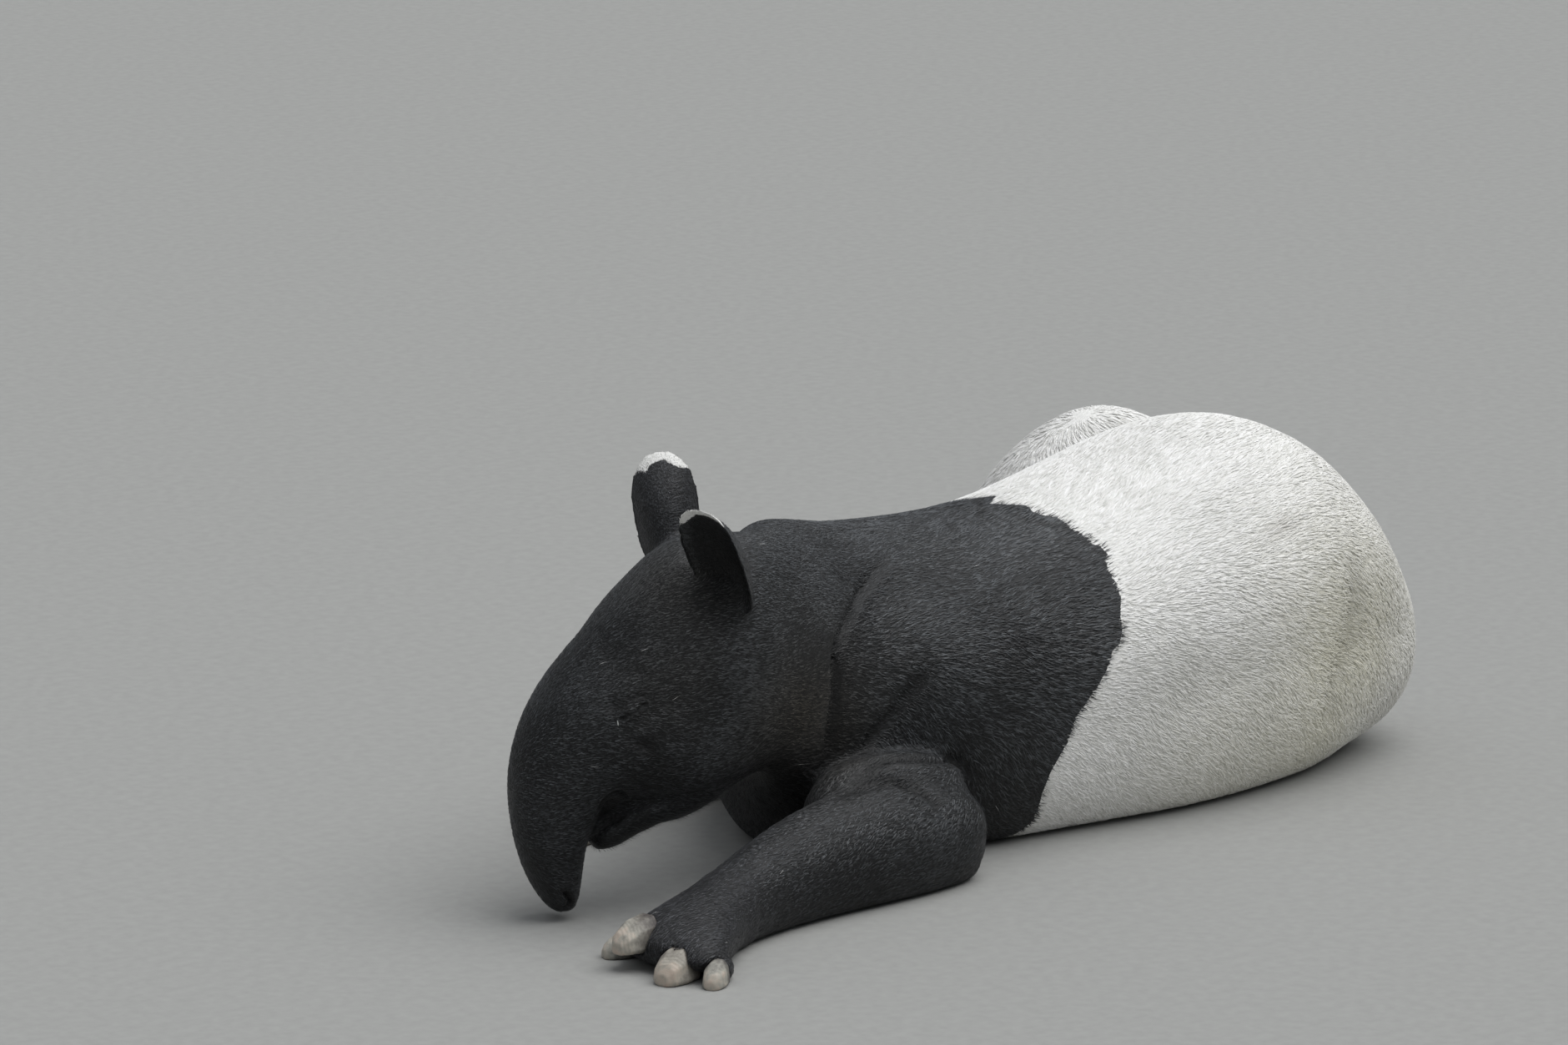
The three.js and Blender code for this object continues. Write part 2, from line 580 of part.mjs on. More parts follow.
// Marking: the saddle starts along a curved line behind the shoulders.
// Angle round the body from the right side over the back, and the place of the line there.
const markingRows = [
  [-30, -20], [-10, -5], [10, 60], [30, 112], [50, 130], [70, 139], [90, 139], [110, 139], [130, 131],
  [150, 112], [170, 58], [190, -5], [210, -20],
];
const markingMiddle = [60, -10, 150];
const bodyRadius = 265;
const cutRadius = 560;
const behindMarking = (() => {
  const count = 28;
  const line = Array.from({ length: count }, (_, j) => {
    const [degrees, x] = rowAt(markingRows, j / (count - 1));
    return [
      markingMiddle[0] + (x - markingMiddle[0]) * cutRadius / bodyRadius,
      markingMiddle[1] + cutRadius * Math.cos(radians(degrees)),
      markingMiddle[2] + cutRadius * Math.sin(radians(degrees)),
    ];
  });
  const back = line.map(([, y, z]) => [1600, y, z]);
  const apex = line.map((p) => add(markingMiddle, add(p, markingMiddle, -1), 0.002));
  return solid(surfaceThroughRings([apex, line, back]));
})();

// Flat cuts between neighbouring bodies: what lies ahead of, or behind, an upright plane
const big = 3000;
const aheadOf = (x, y = 0, turn = 0) => solidOfGeometry(
  new THREE.BoxGeometry(big, big, big),
  new THREE.Matrix4().makeTranslation(x, y, 0)
    .multiply(new THREE.Matrix4().makeRotationZ(radians(turn)))
    .multiply(new THREE.Matrix4().makeTranslation(-big / 2, 0, 0)),
);
const split = (body, x, y, turn) => [
  body.intersect(aheadOf(x - gap / 2, y, turn)),
  body.subtract(aheadOf(x + gap / 2, y, turn)),
];

// The rear face of the head, where the neck starts
const nape = onHead(-38, -58);
const throat = onHead(235, -182);
const headRear = (() => {
  const down = new THREE.Vector3(...add(throat, nape, -1)).normalize();
  const across = new THREE.Vector3(...rightOfHead);
  const back = new THREE.Vector3().crossVectors(across, down).normalize();
  if (back.x < 0) back.negate();
  const basis = new THREE.Matrix4().makeBasis(back, across, new THREE.Vector3().crossVectors(back, across));
  basis.setPosition(new THREE.Vector3(...add(nape, back.toArray(), gap)));
  return solidOfGeometry(
    new THREE.BoxGeometry(big, big, big),
    basis.multiply(new THREE.Matrix4().makeTranslation(-big / 2, 0, 0)),
  );
})();

const neckEnd = -262;
const [frontOfTrunk, restOfTrunk] = split(trunk.subtract(headRear), neckEnd, 0, 0);
const [footLeft, forearmLeft] = split(legLeft, -600, -333, 12);
const [footRight, forearmRight] = split(legRight, -350, 203, -12);

// Bodies in order. Each gives way to the ones before it whose names start as listed.
const black = blackCoat;
const white = whiteCoat;
const hooves = Object.entries(claws).flatMap(([foot, rows]) => (
  hoovesOf(rows).map((body, i) => [`hoof_${foot}_${toeNames[i]}`, hoofHorn, body, []])
));
const plan = [
  ...hooves,
  ['neck', black, frontOfTrunk, []],
  ['shoulders', black, besides(restOfTrunk, behindMarking), []],
  ['saddle', white, besides(restOfTrunk.intersect(behindMarking), haunchLeft), []],
  ['hindleg_left_thigh', white, restOfTrunk.intersect(haunchLeft), []],
  ['eye_left', eyeSurface, eyeBall(-1), []],
  ['eye_right', eyeSurface, eyeBall(1), []],
  ['head', black, skull.subtract(nostril(-1)).subtract(nostril(1))
    .subtract(eyeSlit(-1)).subtract(eyeSlit(1))
    .subtract(earHollows[0]).subtract(earHollows[1]), ['eye']],
  ['jaw', black, jawForm, ['head', 'neck']],
  ['ear_left', black, earLeft, ['head', 'neck']],
  ['ear_right', black, earRight, ['head', 'neck']],
  ['foreleg_left_forearm', black, forearmLeft, ['shoulders', 'neck']],
  ['foreleg_left_foot', black, withToes(footLeft, claws.foreleft), ['hoof_foreleft']],
  ['foreleg_left_upper', black, upperArmLeft, ['shoulders', 'neck', 'foreleg_left']],
  ['foreleg_right_forearm', black, forearmRight, ['shoulders', 'saddle', 'neck']],
  ['foreleg_right_foot', black, withToes(footRight, claws.foreright), ['hoof_foreright']],
  ['hindleg_right_foot', black, withToes(footHindRight, claws.hindright), ['hoof_hindright']],
  ['hindleg_right_shank', black, shankRight, ['saddle', 'hindleg_right_foot']],
  ['hindleg_right_thigh', white, thighRight, ['saddle', 'hindleg_left_thigh', 'hindleg_right']],
  ['hindleg_left_foot', black, withToes(footHindLeft, claws.hindleft), [
    'hoof_hindleft', 'saddle', 'shoulders', 'hindleg_right',
  ]],
  ['tail', white, tail, ['saddle', 'hindleg']],
];
const made = new Map();
for (const [name, material, body, yields] of plan) {
  let shape = body;
  for (const [other, { body: first }] of made) {
    if (yields.some((prefix) => other.startsWith(prefix))) shape = besides(shape, first);
  }
  made.set(name, { body: largest(shape), material });
}

// Centre the footprint on the origin
const bounds = new THREE.Box3();
for (const { body } of made.values()) {
  for (const p of surfaceOf(body).points) bounds.expandByPoint(new THREE.Vector3(...p));
}
const centre = bounds.getCenter(new THREE.Vector3());

const tapir = new THREE.Group();
tapir.userData.centre = centre.toArray();
for (const [name, { body, material }] of made) {
  const { points, triangles } = surfaceOf(body);
  const moved = points.map(([x, y, z]) => [x - centre.x, y - centre.y, z]);
  const geometry = new THREE.BufferGeometry();
  geometry.setAttribute('position', new THREE.Float32BufferAttribute(moved.flat(), 3));
  geometry.setIndex(triangles.flat());
  const mesh = new THREE.Mesh(geometry, material);
  mesh.name = name;
  tapir.add(mesh);
}

export default tapir;
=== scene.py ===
# Malayan tapir resting on its chest: skin, coat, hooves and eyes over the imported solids.
import math

import bmesh
import bpy
import numpy as np
from mathutils import Matrix, Vector
from mathutils.bvhtree import BVHTree


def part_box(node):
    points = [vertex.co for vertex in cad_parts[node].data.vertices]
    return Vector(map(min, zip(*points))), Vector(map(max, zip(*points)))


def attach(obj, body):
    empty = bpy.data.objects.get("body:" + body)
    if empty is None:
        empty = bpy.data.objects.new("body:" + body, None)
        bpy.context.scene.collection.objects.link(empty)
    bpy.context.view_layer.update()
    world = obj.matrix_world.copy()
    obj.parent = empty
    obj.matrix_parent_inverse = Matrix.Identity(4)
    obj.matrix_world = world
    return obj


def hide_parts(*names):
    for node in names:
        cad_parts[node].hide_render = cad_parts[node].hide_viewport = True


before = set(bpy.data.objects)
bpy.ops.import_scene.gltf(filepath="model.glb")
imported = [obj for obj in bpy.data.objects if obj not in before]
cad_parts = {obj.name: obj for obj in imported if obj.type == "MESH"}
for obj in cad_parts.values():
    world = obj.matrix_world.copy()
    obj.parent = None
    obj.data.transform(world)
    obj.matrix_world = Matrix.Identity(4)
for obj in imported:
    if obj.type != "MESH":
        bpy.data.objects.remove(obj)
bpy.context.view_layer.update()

rng = np.random.default_rng(7)

# The solids were drawn about this point, in metres
drawnFrom = np.array([0.01699, 0.00423, 0.0])


def placed(*mm):
    # a point of the drawing, in millimetres, as a place in the frame
    return np.array(mm, float) / 1000 + drawnFrom


def linear(hexCode):
    # sRGB hex to the linear colour a socket takes
    parts = [int(hexCode[i:i + 2], 16) / 255 for i in (1, 3, 5)]
    return [p / 12.92 if p <= 0.04045 else ((p + 0.055) / 1.055) ** 2.4 for p in parts] + [1.0]


def addNode(tree, kind, inputs=None, stops=(), **settings):
    # a node with its settings, its links or values, and the stops of a colour ramp
    made = tree.nodes.new(kind)
    for name, value in settings.items():
        setattr(made, name, value)
    for name, value in (inputs or {}).items():
        if isinstance(value, bpy.types.NodeSocket):
            tree.links.new(value, made.inputs[name])
        else:
            made.inputs[name].default_value = value
    while stops and len(made.color_ramp.elements) < len(stops):
        made.color_ramp.elements.new(0.5)
    for stop, (position, colour) in enumerate(stops):
        made.color_ramp.elements[stop].position = position
        made.color_ramp.elements[stop].color = linear(colour)
    return made


def newMaterial(name):
    # an empty material, its node tree and the place on the object that patterns read
    material = bpy.data.materials.new(name)
    material.use_nodes = True
    tree = material.node_tree
    tree.nodes.clear()
    return material, tree, addNode(tree, "ShaderNodeTexCoord").outputs["Object"]


def linkedObject(name, data):
    made = bpy.data.objects.new(name, data)
    bpy.context.collection.objects.link(made)
    return made


def unit(v):
    return v / np.maximum(np.linalg.norm(v, axis=-1, keepdims=True), 1e-9)


# Head frame, as in the solids: from the poll to the tip of the trunk
head = {"tip": (-680, -122, 6), "length": 480, "down": 68, "turn": 17, "tilt": 13}
down, turn, tilt = (math.radians(head[k]) for k in ("down", "turn", "tilt"))
forward = np.array([-math.cos(down) * math.cos(tilt), math.cos(down) * math.sin(tilt), -math.sin(down)])
sideways = np.array([math.sin(turn), math.cos(turn), 0.0])
sideways = unit(sideways - forward * (sideways @ forward))
browward = np.cross(sideways, forward)
poll = placed(*head["tip"]) - forward * head["length"] / 1000


def onHead(along, out, side=0):
    return poll + (forward * along + browward * out + sideways * side) / 1000


# Camera at the photograph's place: angles in degrees, lens, sensor and place in mm, reach in metres
shot = {"azimuth": 40, "pitch": 13.4, "lens": 200, "sensor": 36, "at": (-7114.7, -8203.7, 2959.4), "reach": 60}


def makeCamera():
    azimuth, pitch = math.radians(shot["azimuth"]), math.radians(shot["pitch"])
    ahead = Vector((math.sin(azimuth) * math.cos(pitch), math.cos(azimuth) * math.cos(pitch), -math.sin(pitch)))
    right = Vector((math.cos(azimuth), -math.sin(azimuth), 0))
    above = right.cross(ahead)
    data = bpy.data.cameras.new("camera")
    data.lens, data.sensor_width, data.clip_end = shot["lens"], shot["sensor"], shot["reach"]
    camera = linkedObject("camera", data)
    axes = Matrix((right, above, -ahead)).transposed().to_4x4()
    camera.matrix_world = Matrix.Translation(placed(*shot["at"])) @ axes
    bpy.context.scene.camera = camera


makeCamera()
print("camera made")


# Mesh data as arrays
def arrayOf(items, key, width=1, kind=np.float32):
    # one property of all the points, edges, faces or values of a mesh
    values = np.empty(len(items) * width, kind)
    items.foreach_get(key, values)
    return values.reshape(-1, width) if width > 1 else values


def pointsOf(mesh):
    return arrayOf(mesh.vertices, "co", 3).astype(float)


def normalsOf(mesh):
    return arrayOf(mesh.vertex_normals, "vector", 3).astype(float)


def setPoints(mesh, co):
    mesh.vertices.foreach_set("co", co.astype(np.float32).ravel())
    mesh.update()


def averaged(values, mesh, rounds, amount=0.5):
    # repeated mixing of each point's value with its neighbours'; amount is one number, or one for each point
    values, pairs = np.array(values, float), arrayOf(mesh.edges, "vertices", 2, np.int32)
    degree = np.maximum(np.bincount(pairs.ravel(), minlength=len(values)), 1)
    for _ in range(rounds):
        for column in values.reshape(len(values), -1).T:
            sums = np.bincount(pairs[:, 0], column[pairs[:, 1]], len(values))
            sums += np.bincount(pairs[:, 1], column[pairs[:, 0]], len(values))
            column += (sums / degree - column) * amount
    return values


def setAttribute(mesh, name, values):
    kind = "FLOAT" if values.ndim == 1 else "FLOAT_VECTOR"
    made = mesh.attributes.new(name, kind, "POINT")
    made.data.foreach_set("value" if values.ndim == 1 else "vector", values.astype(np.float32).ravel())


def withModifiers(source, name):
    # the mesh as its modifiers leave it; the source goes
    graph = bpy.context.evaluated_depsgraph_get()
    mesh = bpy.data.meshes.new_from_object(source.evaluated_get(graph))
    mesh.name = name
    bpy.data.objects.remove(source)
    return mesh


def remeshed(mesh, name, voxel):
    # one closed even surface round everything in the mesh
    source = linkedObject(name + "Source", mesh)
    remesh = source.modifiers.new("remesh", "REMESH")
    remesh.mode = "VOXEL"
    remesh.voxel_size = voxel
    return withModifiers(source, name)


def joinedCopy(names, label, fuller=0.0):
    # one mesh of copies of several nodes, each merged first; thin ears are made fuller for the remesh
    joined = bmesh.new()
    for name in names:
        single = bmesh.new()
        single.from_mesh(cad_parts[name].data)
        bmesh.ops.remove_doubles(single, verts=single.verts, dist=1e-5)
        single.normal_update()
        if name.startswith("ear") and fuller:
            for vert, normal in [(v, v.normal.copy()) for v in single.verts]:
                vert.co += normal * fuller
        piece = bpy.data.meshes.new(name + "Copy")
        single.to_mesh(piece)
        single.free()
        joined.from_mesh(piece)
        bpy.data.meshes.remove(piece)
    mesh = bpy.data.meshes.new(label)
    joined.to_mesh(mesh)
    joined.free()
    return mesh


# What each part of the body wears; rump, ears, legs and feet share values. lie: the way the hair runs.
# smooth: how far the surface evens out. depth: coat over the skin. tuft: length, width, lift in mm.
# dense: tufts for each square centimetre.
headBack = tuple(-browward * 0.85 - forward * 0.35)
rump = dict(smooth=0.9, depth=4.5, tuft=(18, 2.3, 1.6), dense=8, white=1)
ear = dict(smooth=0.12, depth=2.2, tuft=(5, 0.9, 0.6), dense=8, white=0)
leg = dict(smooth=0.7, depth=2.6, tuft=(10, 1.3, 0.9), dense=6.5, white=0)
foot = dict(smooth=0.2, depth=1.4, tuft=(7, 1.1, 0.7), dense=6, white=0)
parts = {
    "neck": dict(lie=(0.9, 0.35, -0.15), smooth=1.0, depth=3.2, tuft=(11, 1.3, 1.0), dense=7, white=0),
    "shoulders": dict(lie=(1, 0.05, 0.05), smooth=1.0, depth=3.6, tuft=(13, 1.5, 1.1), dense=6.5, white=0),
    "saddle": dict(rump, lie=(1, 0.12, 0.1), smooth=1.0),
    "hindleg_left_thigh": dict(rump, lie=(0.35, 0.1, -1)),
    "head": dict(lie=headBack, smooth=0.25, depth=1.8, tuft=(8.5, 1.1, 0.7), dense=10, white=0),
    "jaw": dict(lie=headBack, smooth=0.15, depth=1.5, tuft=(7, 0.9, 0.7), dense=9, white=0),
    "ear_left": dict(ear, lie=(-0.42, -0.05, 0.9)),
    "ear_right": dict(ear, lie=(0.0, 0.2, 0.97)),
    "foreleg_left_upper": dict(leg, lie=(-0.8, -0.2, -0.5)),
    "foreleg_left_forearm": dict(leg, lie=(-1, -0.1, -0.35)),
    "foreleg_left_foot": dict(foot, lie=(-1, -0.15, -0.2), smooth=0.15, tuft=(8, 1.1, 0.8), dense=8),
    "foreleg_right_forearm": dict(leg, lie=(-1, 0.1, -0.35)),
    "foreleg_right_foot": dict(foot, lie=(-1, -0.2, -0.2), smooth=0.15, tuft=(6, 1.0, 0.7), dense=6.5),
    "hindleg_right_thigh": dict(rump, lie=(0.1, 0.2, -1), tuft=(17, 2.4, 1.8), dense=7.5),
    "hindleg_right_shank": dict(leg, lie=(0.8, 0.1, -0.6), smooth=0.6, depth=2.4),
    "hindleg_right_foot": dict(foot, lie=(-1, 0.1, -0.2)),
    "hindleg_left_foot": dict(foot, lie=(-0.7, 0.7, -0.3)),
    "tail": dict(lie=(0.1, 0, -1), smooth=0.1, depth=1.6, tuft=(8, 1.4, 1.0), dense=7, white=1),
}
partNames = list(parts)


def nearestOf(names, points):
    # for each point, which of the named nodes is nearest, and how far away it is
    corners, faces, owner = [], [], []
    for name in names:
        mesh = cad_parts[name].data
        mesh.calc_loop_triangles()
        start = len(corners)
        corners += [v.co for v in mesh.vertices]
        faces += [[start + v for v in t.vertices] for t in mesh.loop_triangles]
        owner += [partNames.index(name)] * len(mesh.loop_triangles)
    find = BVHTree.FromPolygons(corners, faces).find_nearest
    found = [find(p) for p in points.tolist()]
    return np.array([owner[face] for _, _, face, _ in found]), np.array([away for _, _, _, away in found])


def perPart(key, owners):
    return np.array([parts[name][key] for name in partNames], float)[owners]


def belongsTo(names, owners):
    return np.isin(owners, [partNames.index(name) for name in names])


# Skin: one closed surface through all the flesh
skinShape = {  # lengths in metres, places in mm, fairing and blend in rounds
    "voxel": 0.003, "fuller": 0.002, "fairing": 70, "fairingShare": 0.6, "blend": 12, "faces": 140000,
    "floorGap": 0.0012,
    "junction": {"nape": (-38, -58), "throat": (235, -182), "reach": 0.06, "blend": 8, "fairing": 220},
    "earPlug": {"at": (-553, -194, 435), "radius": 0.013},
    "keptFine": ("head", "jaw", "ear_left", "ear_right", "foreleg_left_foot"),
}


def junctionSoftness(points, owners):
    # the head runs into the neck without an edge: even out more near the cut between them
    junction = skinShape["junction"]
    nape, throat = onHead(*junction["nape"]), onHead(*junction["throat"])
    back = unit(np.cross(sideways, throat - nape))
    away = np.abs((points - nape) @ back)
    return np.exp(-(away / junction["reach"]) ** 2) * belongsTo(("head", "neck", "shoulders"), owners)


def makeRoughSkin():
    flesh = joinedCopy(partNames, "fleshSource", skinShape["fuller"])
    plug = bmesh.new()
    plug.from_mesh(flesh)
    place = Matrix.Translation(placed(*skinShape["earPlug"]["at"]))  # closes the notch before the left ear
    bmesh.ops.create_icosphere(plug, subdivisions=3, radius=skinShape["earPlug"]["radius"], matrix=place)
    plug.to_mesh(flesh)
    plug.free()
    mesh = remeshed(flesh, "skin", skinShape["voxel"])
    points = pointsOf(mesh)
    owners, _ = nearestOf(partNames, points)
    share, blend, junction = skinShape["fairingShare"], skinShape["blend"], skinShape["junction"]
    nearHead = junctionSoftness(points, owners)
    soft = averaged(perPart("smooth", owners), mesh, blend)
    points = averaged(points, mesh, skinShape["fairing"], soft * share)
    nearHead = averaged(nearHead, mesh, junction["blend"])
    points = averaged(points, mesh, junction["fairing"], nearHead * share)
    setPoints(mesh, points)
    depth = averaged(perPart("depth", owners), mesh, blend) / 1000
    points -= normalsOf(mesh) * depth[:, None]
    points[:, 2] = np.maximum(points[:, 2], skinShape["floorGap"])
    setPoints(mesh, points)
    return mesh, owners


# Folds of the skin, as paths in millimetres of the drawing. swell: how far the flesh below or
# behind the fold stands over it, toward the given side.
bodyFolds = {
    "rump": dict(width=17, depth=3.8, swell=1.5, toward=(1, 0, 0), path=[
        (483, -294, 313), (486, -301, 252), (483, -297, 212), (471, -294, 167), (454, -293, 125), (454, -278, 73)]),
    "neck": dict(width=8, depth=7, swell=1.5, toward=(1, 0, 0), path=[
        (-170, -145, 400), (-269, -192, 354), (-335, -232, 310), (-344, -238, 245), (-348, -232, 202),
        (-338, -218, 157)]),
    "shoulder": dict(width=8, depth=5.5, swell=0.5, toward=(0.8, 0, -0.6), path=[
        (-180, -243, 268), (-213, -239, 241), (-245, -233, 210), (-274, -229, 189), (-296, -223, 163),
        (-325, -215, 145)]),
    "armpit": dict(width=8, depth=8, swell=3, toward=(0, -0.3, -1), path=[
        (-357, -278, 145), (-336, -277, 158), (-312, -274, 167), (-269, -279, 167), (-222, -282, 157),
        (-149, -250, 130), (-128, -250, 104)]),
    "elbow": dict(width=8, depth=7, swell=3.5, toward=(0, -0.3, -1), path=[
        (-398, -300, 146), (-353, -296, 150), (-315, -300, 148), (-281, -320, 137), (-266, -333, 124),
        (-258, -343, 108)]),
}
# where a furrow's forms lie, in its widths from the middle: the lip, the swelling, its spread and the shadow
furrowForm = {"lip": 2, "swell": 1.6, "swellSpread": 1.7, "shadow": 1.25, "reach": 5, "endFade": 0.7}


def curveThrough(path, step):
    # evenly spaced points of a smooth curve through the given ones
    path = np.array(path)
    ends = np.vstack([2 * path[0] - path[1], path, 2 * path[-1] - path[-2]])
    made = []
    for a, b, c, d in zip(ends, ends[1:], ends[2:], ends[3:]):
        for t in np.linspace(0, 1, max(2, int(np.linalg.norm(c - b) / step)), endpoint=False):
            made.append(0.5 * (2 * b + (c - a) * t + (2 * a - 5 * b + 4 * c - d) * t * t
                               + (3 * b - a - 3 * c + d) * t ** 3))
    return np.array(made + [path[-1]])


class Carver:
    # presses furrows, dents and mounds into a mesh, and keeps how deep each point went, as the amount of painted
    # shade for its folds
    def __init__(self, mesh):
        self.mesh = mesh
        self.points, self.normals = pointsOf(mesh), normalsOf(mesh)
        self.tree = treeOf(mesh)
        self.hollow, self.bare = np.zeros(len(self.points)), np.zeros(len(self.points))

    def snapped(self, places):
        return np.array([self.tree.find_nearest(p)[0] for p in np.array(places).tolist()])

    def furrow(self, path, width, depth, lip=0.0, swell=0.0, toward=None, taper=4.0, bare=False):
        line = self.snapped(curveThrough(path, width / 3000))
        width, depth, lip, swell = width / 1000, depth / 1000, lip / 1000, swell / 1000
        reach = width * furrowForm["reach"]
        inBox = (self.points > line.min(0) - reach) & (self.points < line.max(0) + reach)
        near = np.flatnonzero(inBox.all(1))
        spots = self.points[near]
        away, along, side = np.full(len(near), 9.0), np.zeros(len(near)), np.zeros((len(near), 3))
        for i, (a, b) in enumerate(zip(line, line[1:])):
            span = b - a
            t = np.clip(((spots - a) @ span) / max(span @ span, 1e-12), 0, 1)
            offset = spots - a - t[:, None] * span
            d = np.linalg.norm(offset, axis=1)
            closer = d < away
            away[closer], side[closer] = d[closer], offset[closer]
            along[closer] = (i + t[closer]) / (len(line) - 1)
        fade = np.clip(np.minimum(along, 1 - along) * taper, 0, 1) ** furrowForm["endFade"]
        pressed = depth * np.exp(-(away / width) ** 2)
        raised = lip * np.exp(-((away - furrowForm["lip"] * width) / width) ** 2)
        if toward is not None:
            over = np.clip(unit(side) @ unit(np.array(toward, float)) * 1.5, 0, 1)
            spread = furrowForm["swellSpread"] * width
            raised += swell * over * np.exp(-((away - furrowForm["swell"] * width) / spread) ** 2)
        self.points[near] += self.normals[near] * ((raised - pressed) * fade)[:, None]
        # painted shade: the coat darkens over each furrow by its depth
        self.hollow[near] += depth * np.exp(-(away / (furrowForm["shadow"] * width)) ** 2) * fade
        if bare:
            self.bare[near] = np.maximum(self.bare[near], np.exp(-(away / width) ** 2) * fade)

    def dent(self, place, radius, depth):
        # a negative depth makes a mound
        away = np.linalg.norm(self.points - self.snapped([place])[0], axis=1)
        shift = depth / 1000 * np.exp(-(away / radius * 1000) ** 2)
        self.points -= self.normals * shift[:, None]
        # a dent darkens by its depth, as painted shade
        self.hollow += np.maximum(shift, 0)

    def finish(self):
        self.points[:, 2] = np.maximum(self.points[:, 2], skinShape["floorGap"])
        setPoints(self.mesh, self.points)


def treeOf(mesh):
    mesh.calc_loop_triangles()
    return BVHTree.FromPolygons([v.co for v in mesh.vertices], [t.vertices for t in mesh.loop_triangles])


def thinned(mesh, keep):
    # fewer faces on the body, and the head, ears and feet as fine as they are
    source = linkedObject("thinning", mesh)
    group = source.vertex_groups.new(name="body")
    group.add([int(i) for i in np.flatnonzero(~keep)], 1.0, "REPLACE")
    decimate = source.modifiers.new("decimate", "DECIMATE")
    mesh.calc_loop_triangles()
    decimate.ratio = skinShape["faces"] / len(mesh.loop_triangles)
    decimate.vertex_group = "body"
    return withModifiers(source, "skin")


# Face: the eye by its middle along the head, out of it and to its side, and the forms about it,
# which are given on the left of the head and repeated on its right. In mm, but for the lids and the
# refined spots, which are in metres.
face = {
    "eye": (212, 48, 82), "eyeTurn": 39, "slit": 42,
    "lids": {"bulge": 0.0038, "breadth": 0.017, "longer": 1.3, "fall": 1.6, "reach": 0.04, "sag": 0.0014},
    "lidSlit": {"width": 2.8, "depth": 6.0, "lip": 0.9, "taper": 7},
    "chinGroove": {"width": 10, "depth": 9, "taper": 3}, "chinAt": (343, -72), "chinSides": (-40, -22, 0, 22, 40),
    "eyeRefined": (0.03, 0.024), "nostrilRefined": 0.018, "nostril": (474, 12, 19),
}
faceFolds = {
    "upperLid": dict(width=3.2, depth=1.6, path=[
        (-664, -203, 276), (-655, -208, 287), (-641, -214, 292), (-629, -221, 289)]),
    "underEye": dict(width=9, depth=1.5, path=[(-660, -209, 243), (-643, -222, 230), (-622, -229, 226)]),
    "cheekLine": dict(width=9, depth=1.5, path=[(-646, -218, 246), (-632, -225, 219), (-602, -220, 181)]),
    "mouthEdge": dict(width=4, depth=4.5, lip=1.0, path=[
        (-628, -176, 150), (-641, -183, 163), (-655, -186, 166), (-667, -181, 155), (-667, -172, 135)]),
    "mouthPocket": dict(width=10, depth=6, path=[(-652, -183, 158), (-652, -172, 140), (-648, -160, 122)]),
    "lips": dict(width=3, depth=3, path=[(-628, -170, 134), (-640, -160, 122), (-652, -148, 108)]),
    "nostril": dict(bare=True, width=3.2, depth=7, lip=1.0, taper=5, path=[
        (-712, -153, 45), (-706, -154, 37), (-700, -152, 28), (-702, -147, 19)]),
    "noseRing1": dict(width=5, depth=0.7, path=[(-705, -150, 90), (-697, -163, 78), (-680, -163, 68)]),
    "noseRing2": dict(width=5, depth=0.7, path=[(-712, -150, 68), (-702, -160, 58), (-684, -160, 50)]),
}
faceDents = [  # place, radius, depth
    ((-668, -198, 280), 10, 2.6), ((-650, -205, 303), 15, -2.2), ((-641, -223, 229), 15, 1.6),
    ((-612, -228, 262), 18, -1.2), ((-610, -196, 138), 15, -2.5), ((-598, -180, 128), 12, -1.5),
]


def onSide(place, side):
    # a place given on the left of the head, or its mirror on the right
    place = placed(*place)
    return place if side < 0 else place - 2 * ((place - poll) @ sideways) * sideways


def refined(mesh, spots):
    # split the faces near each spot, so that small forms have room
    made = bmesh.new()
    made.from_mesh(mesh)
    for centre, reach in spots:
        centre = Vector(centre)
        edges = {e for f in made.faces if (f.calc_center_median() - centre).length < reach for e in f.edges}
        bmesh.ops.subdivide_edges(made, edges=list(edges), cuts=1, use_grid_fill=True)
    bmesh.ops.triangulate(made, faces=[f for f in made.faces if len(f.verts) > 4])
    made.to_mesh(mesh)
    made.free()


def eyeAxes(side):
    # middle of the lids, the way along the slit towards the snout, and across it towards the brow
    turn = math.radians(face["eyeTurn"])
    along, out, outward = face["eye"]
    slit = forward * math.cos(turn) + browward * math.sin(turn)
    across = browward * math.cos(turn) - forward * math.sin(turn)
    return onHead(along, out, outward * side), slit, across


def carveFace(mesh):
    carver, lids = Carver(mesh), face["lids"]
    for side in (-1, 1):
        middle, slit, across = eyeAxes(side)
        half = face["slit"] / 2000
        offset = carver.points - middle
        u, v = offset @ slit / (half * lids["longer"]), offset @ across / lids["breadth"]
        bulge = np.exp(-lids["fall"] * (u * u + v * v)) * (np.abs(offset @ (sideways * side)) < lids["reach"])
        carver.points += carver.normals * (lids["bulge"] * bulge)[:, None]  # the lids stand over the ball
        closed = [middle + slit * half * t + across * lids["sag"] * (t * t - 1) for t in np.linspace(-1, 1, 9)]
        carver.furrow(closed, bare=True, **face["lidSlit"])
        for fold in faceFolds.values():
            carver.furrow(**{**fold, "path": [onSide(p, side) for p in fold["path"]]})
        for place, radius, depth in faceDents:
            carver.dent(onSide(place, side), radius, depth)
    groove = [onHead(*face["chinAt"], side) for side in face["chinSides"]]
    carver.furrow(groove, **face["chinGroove"])  # between the lower lip and the chin
    carver.finish()
    return carver.hollow, carver.bare


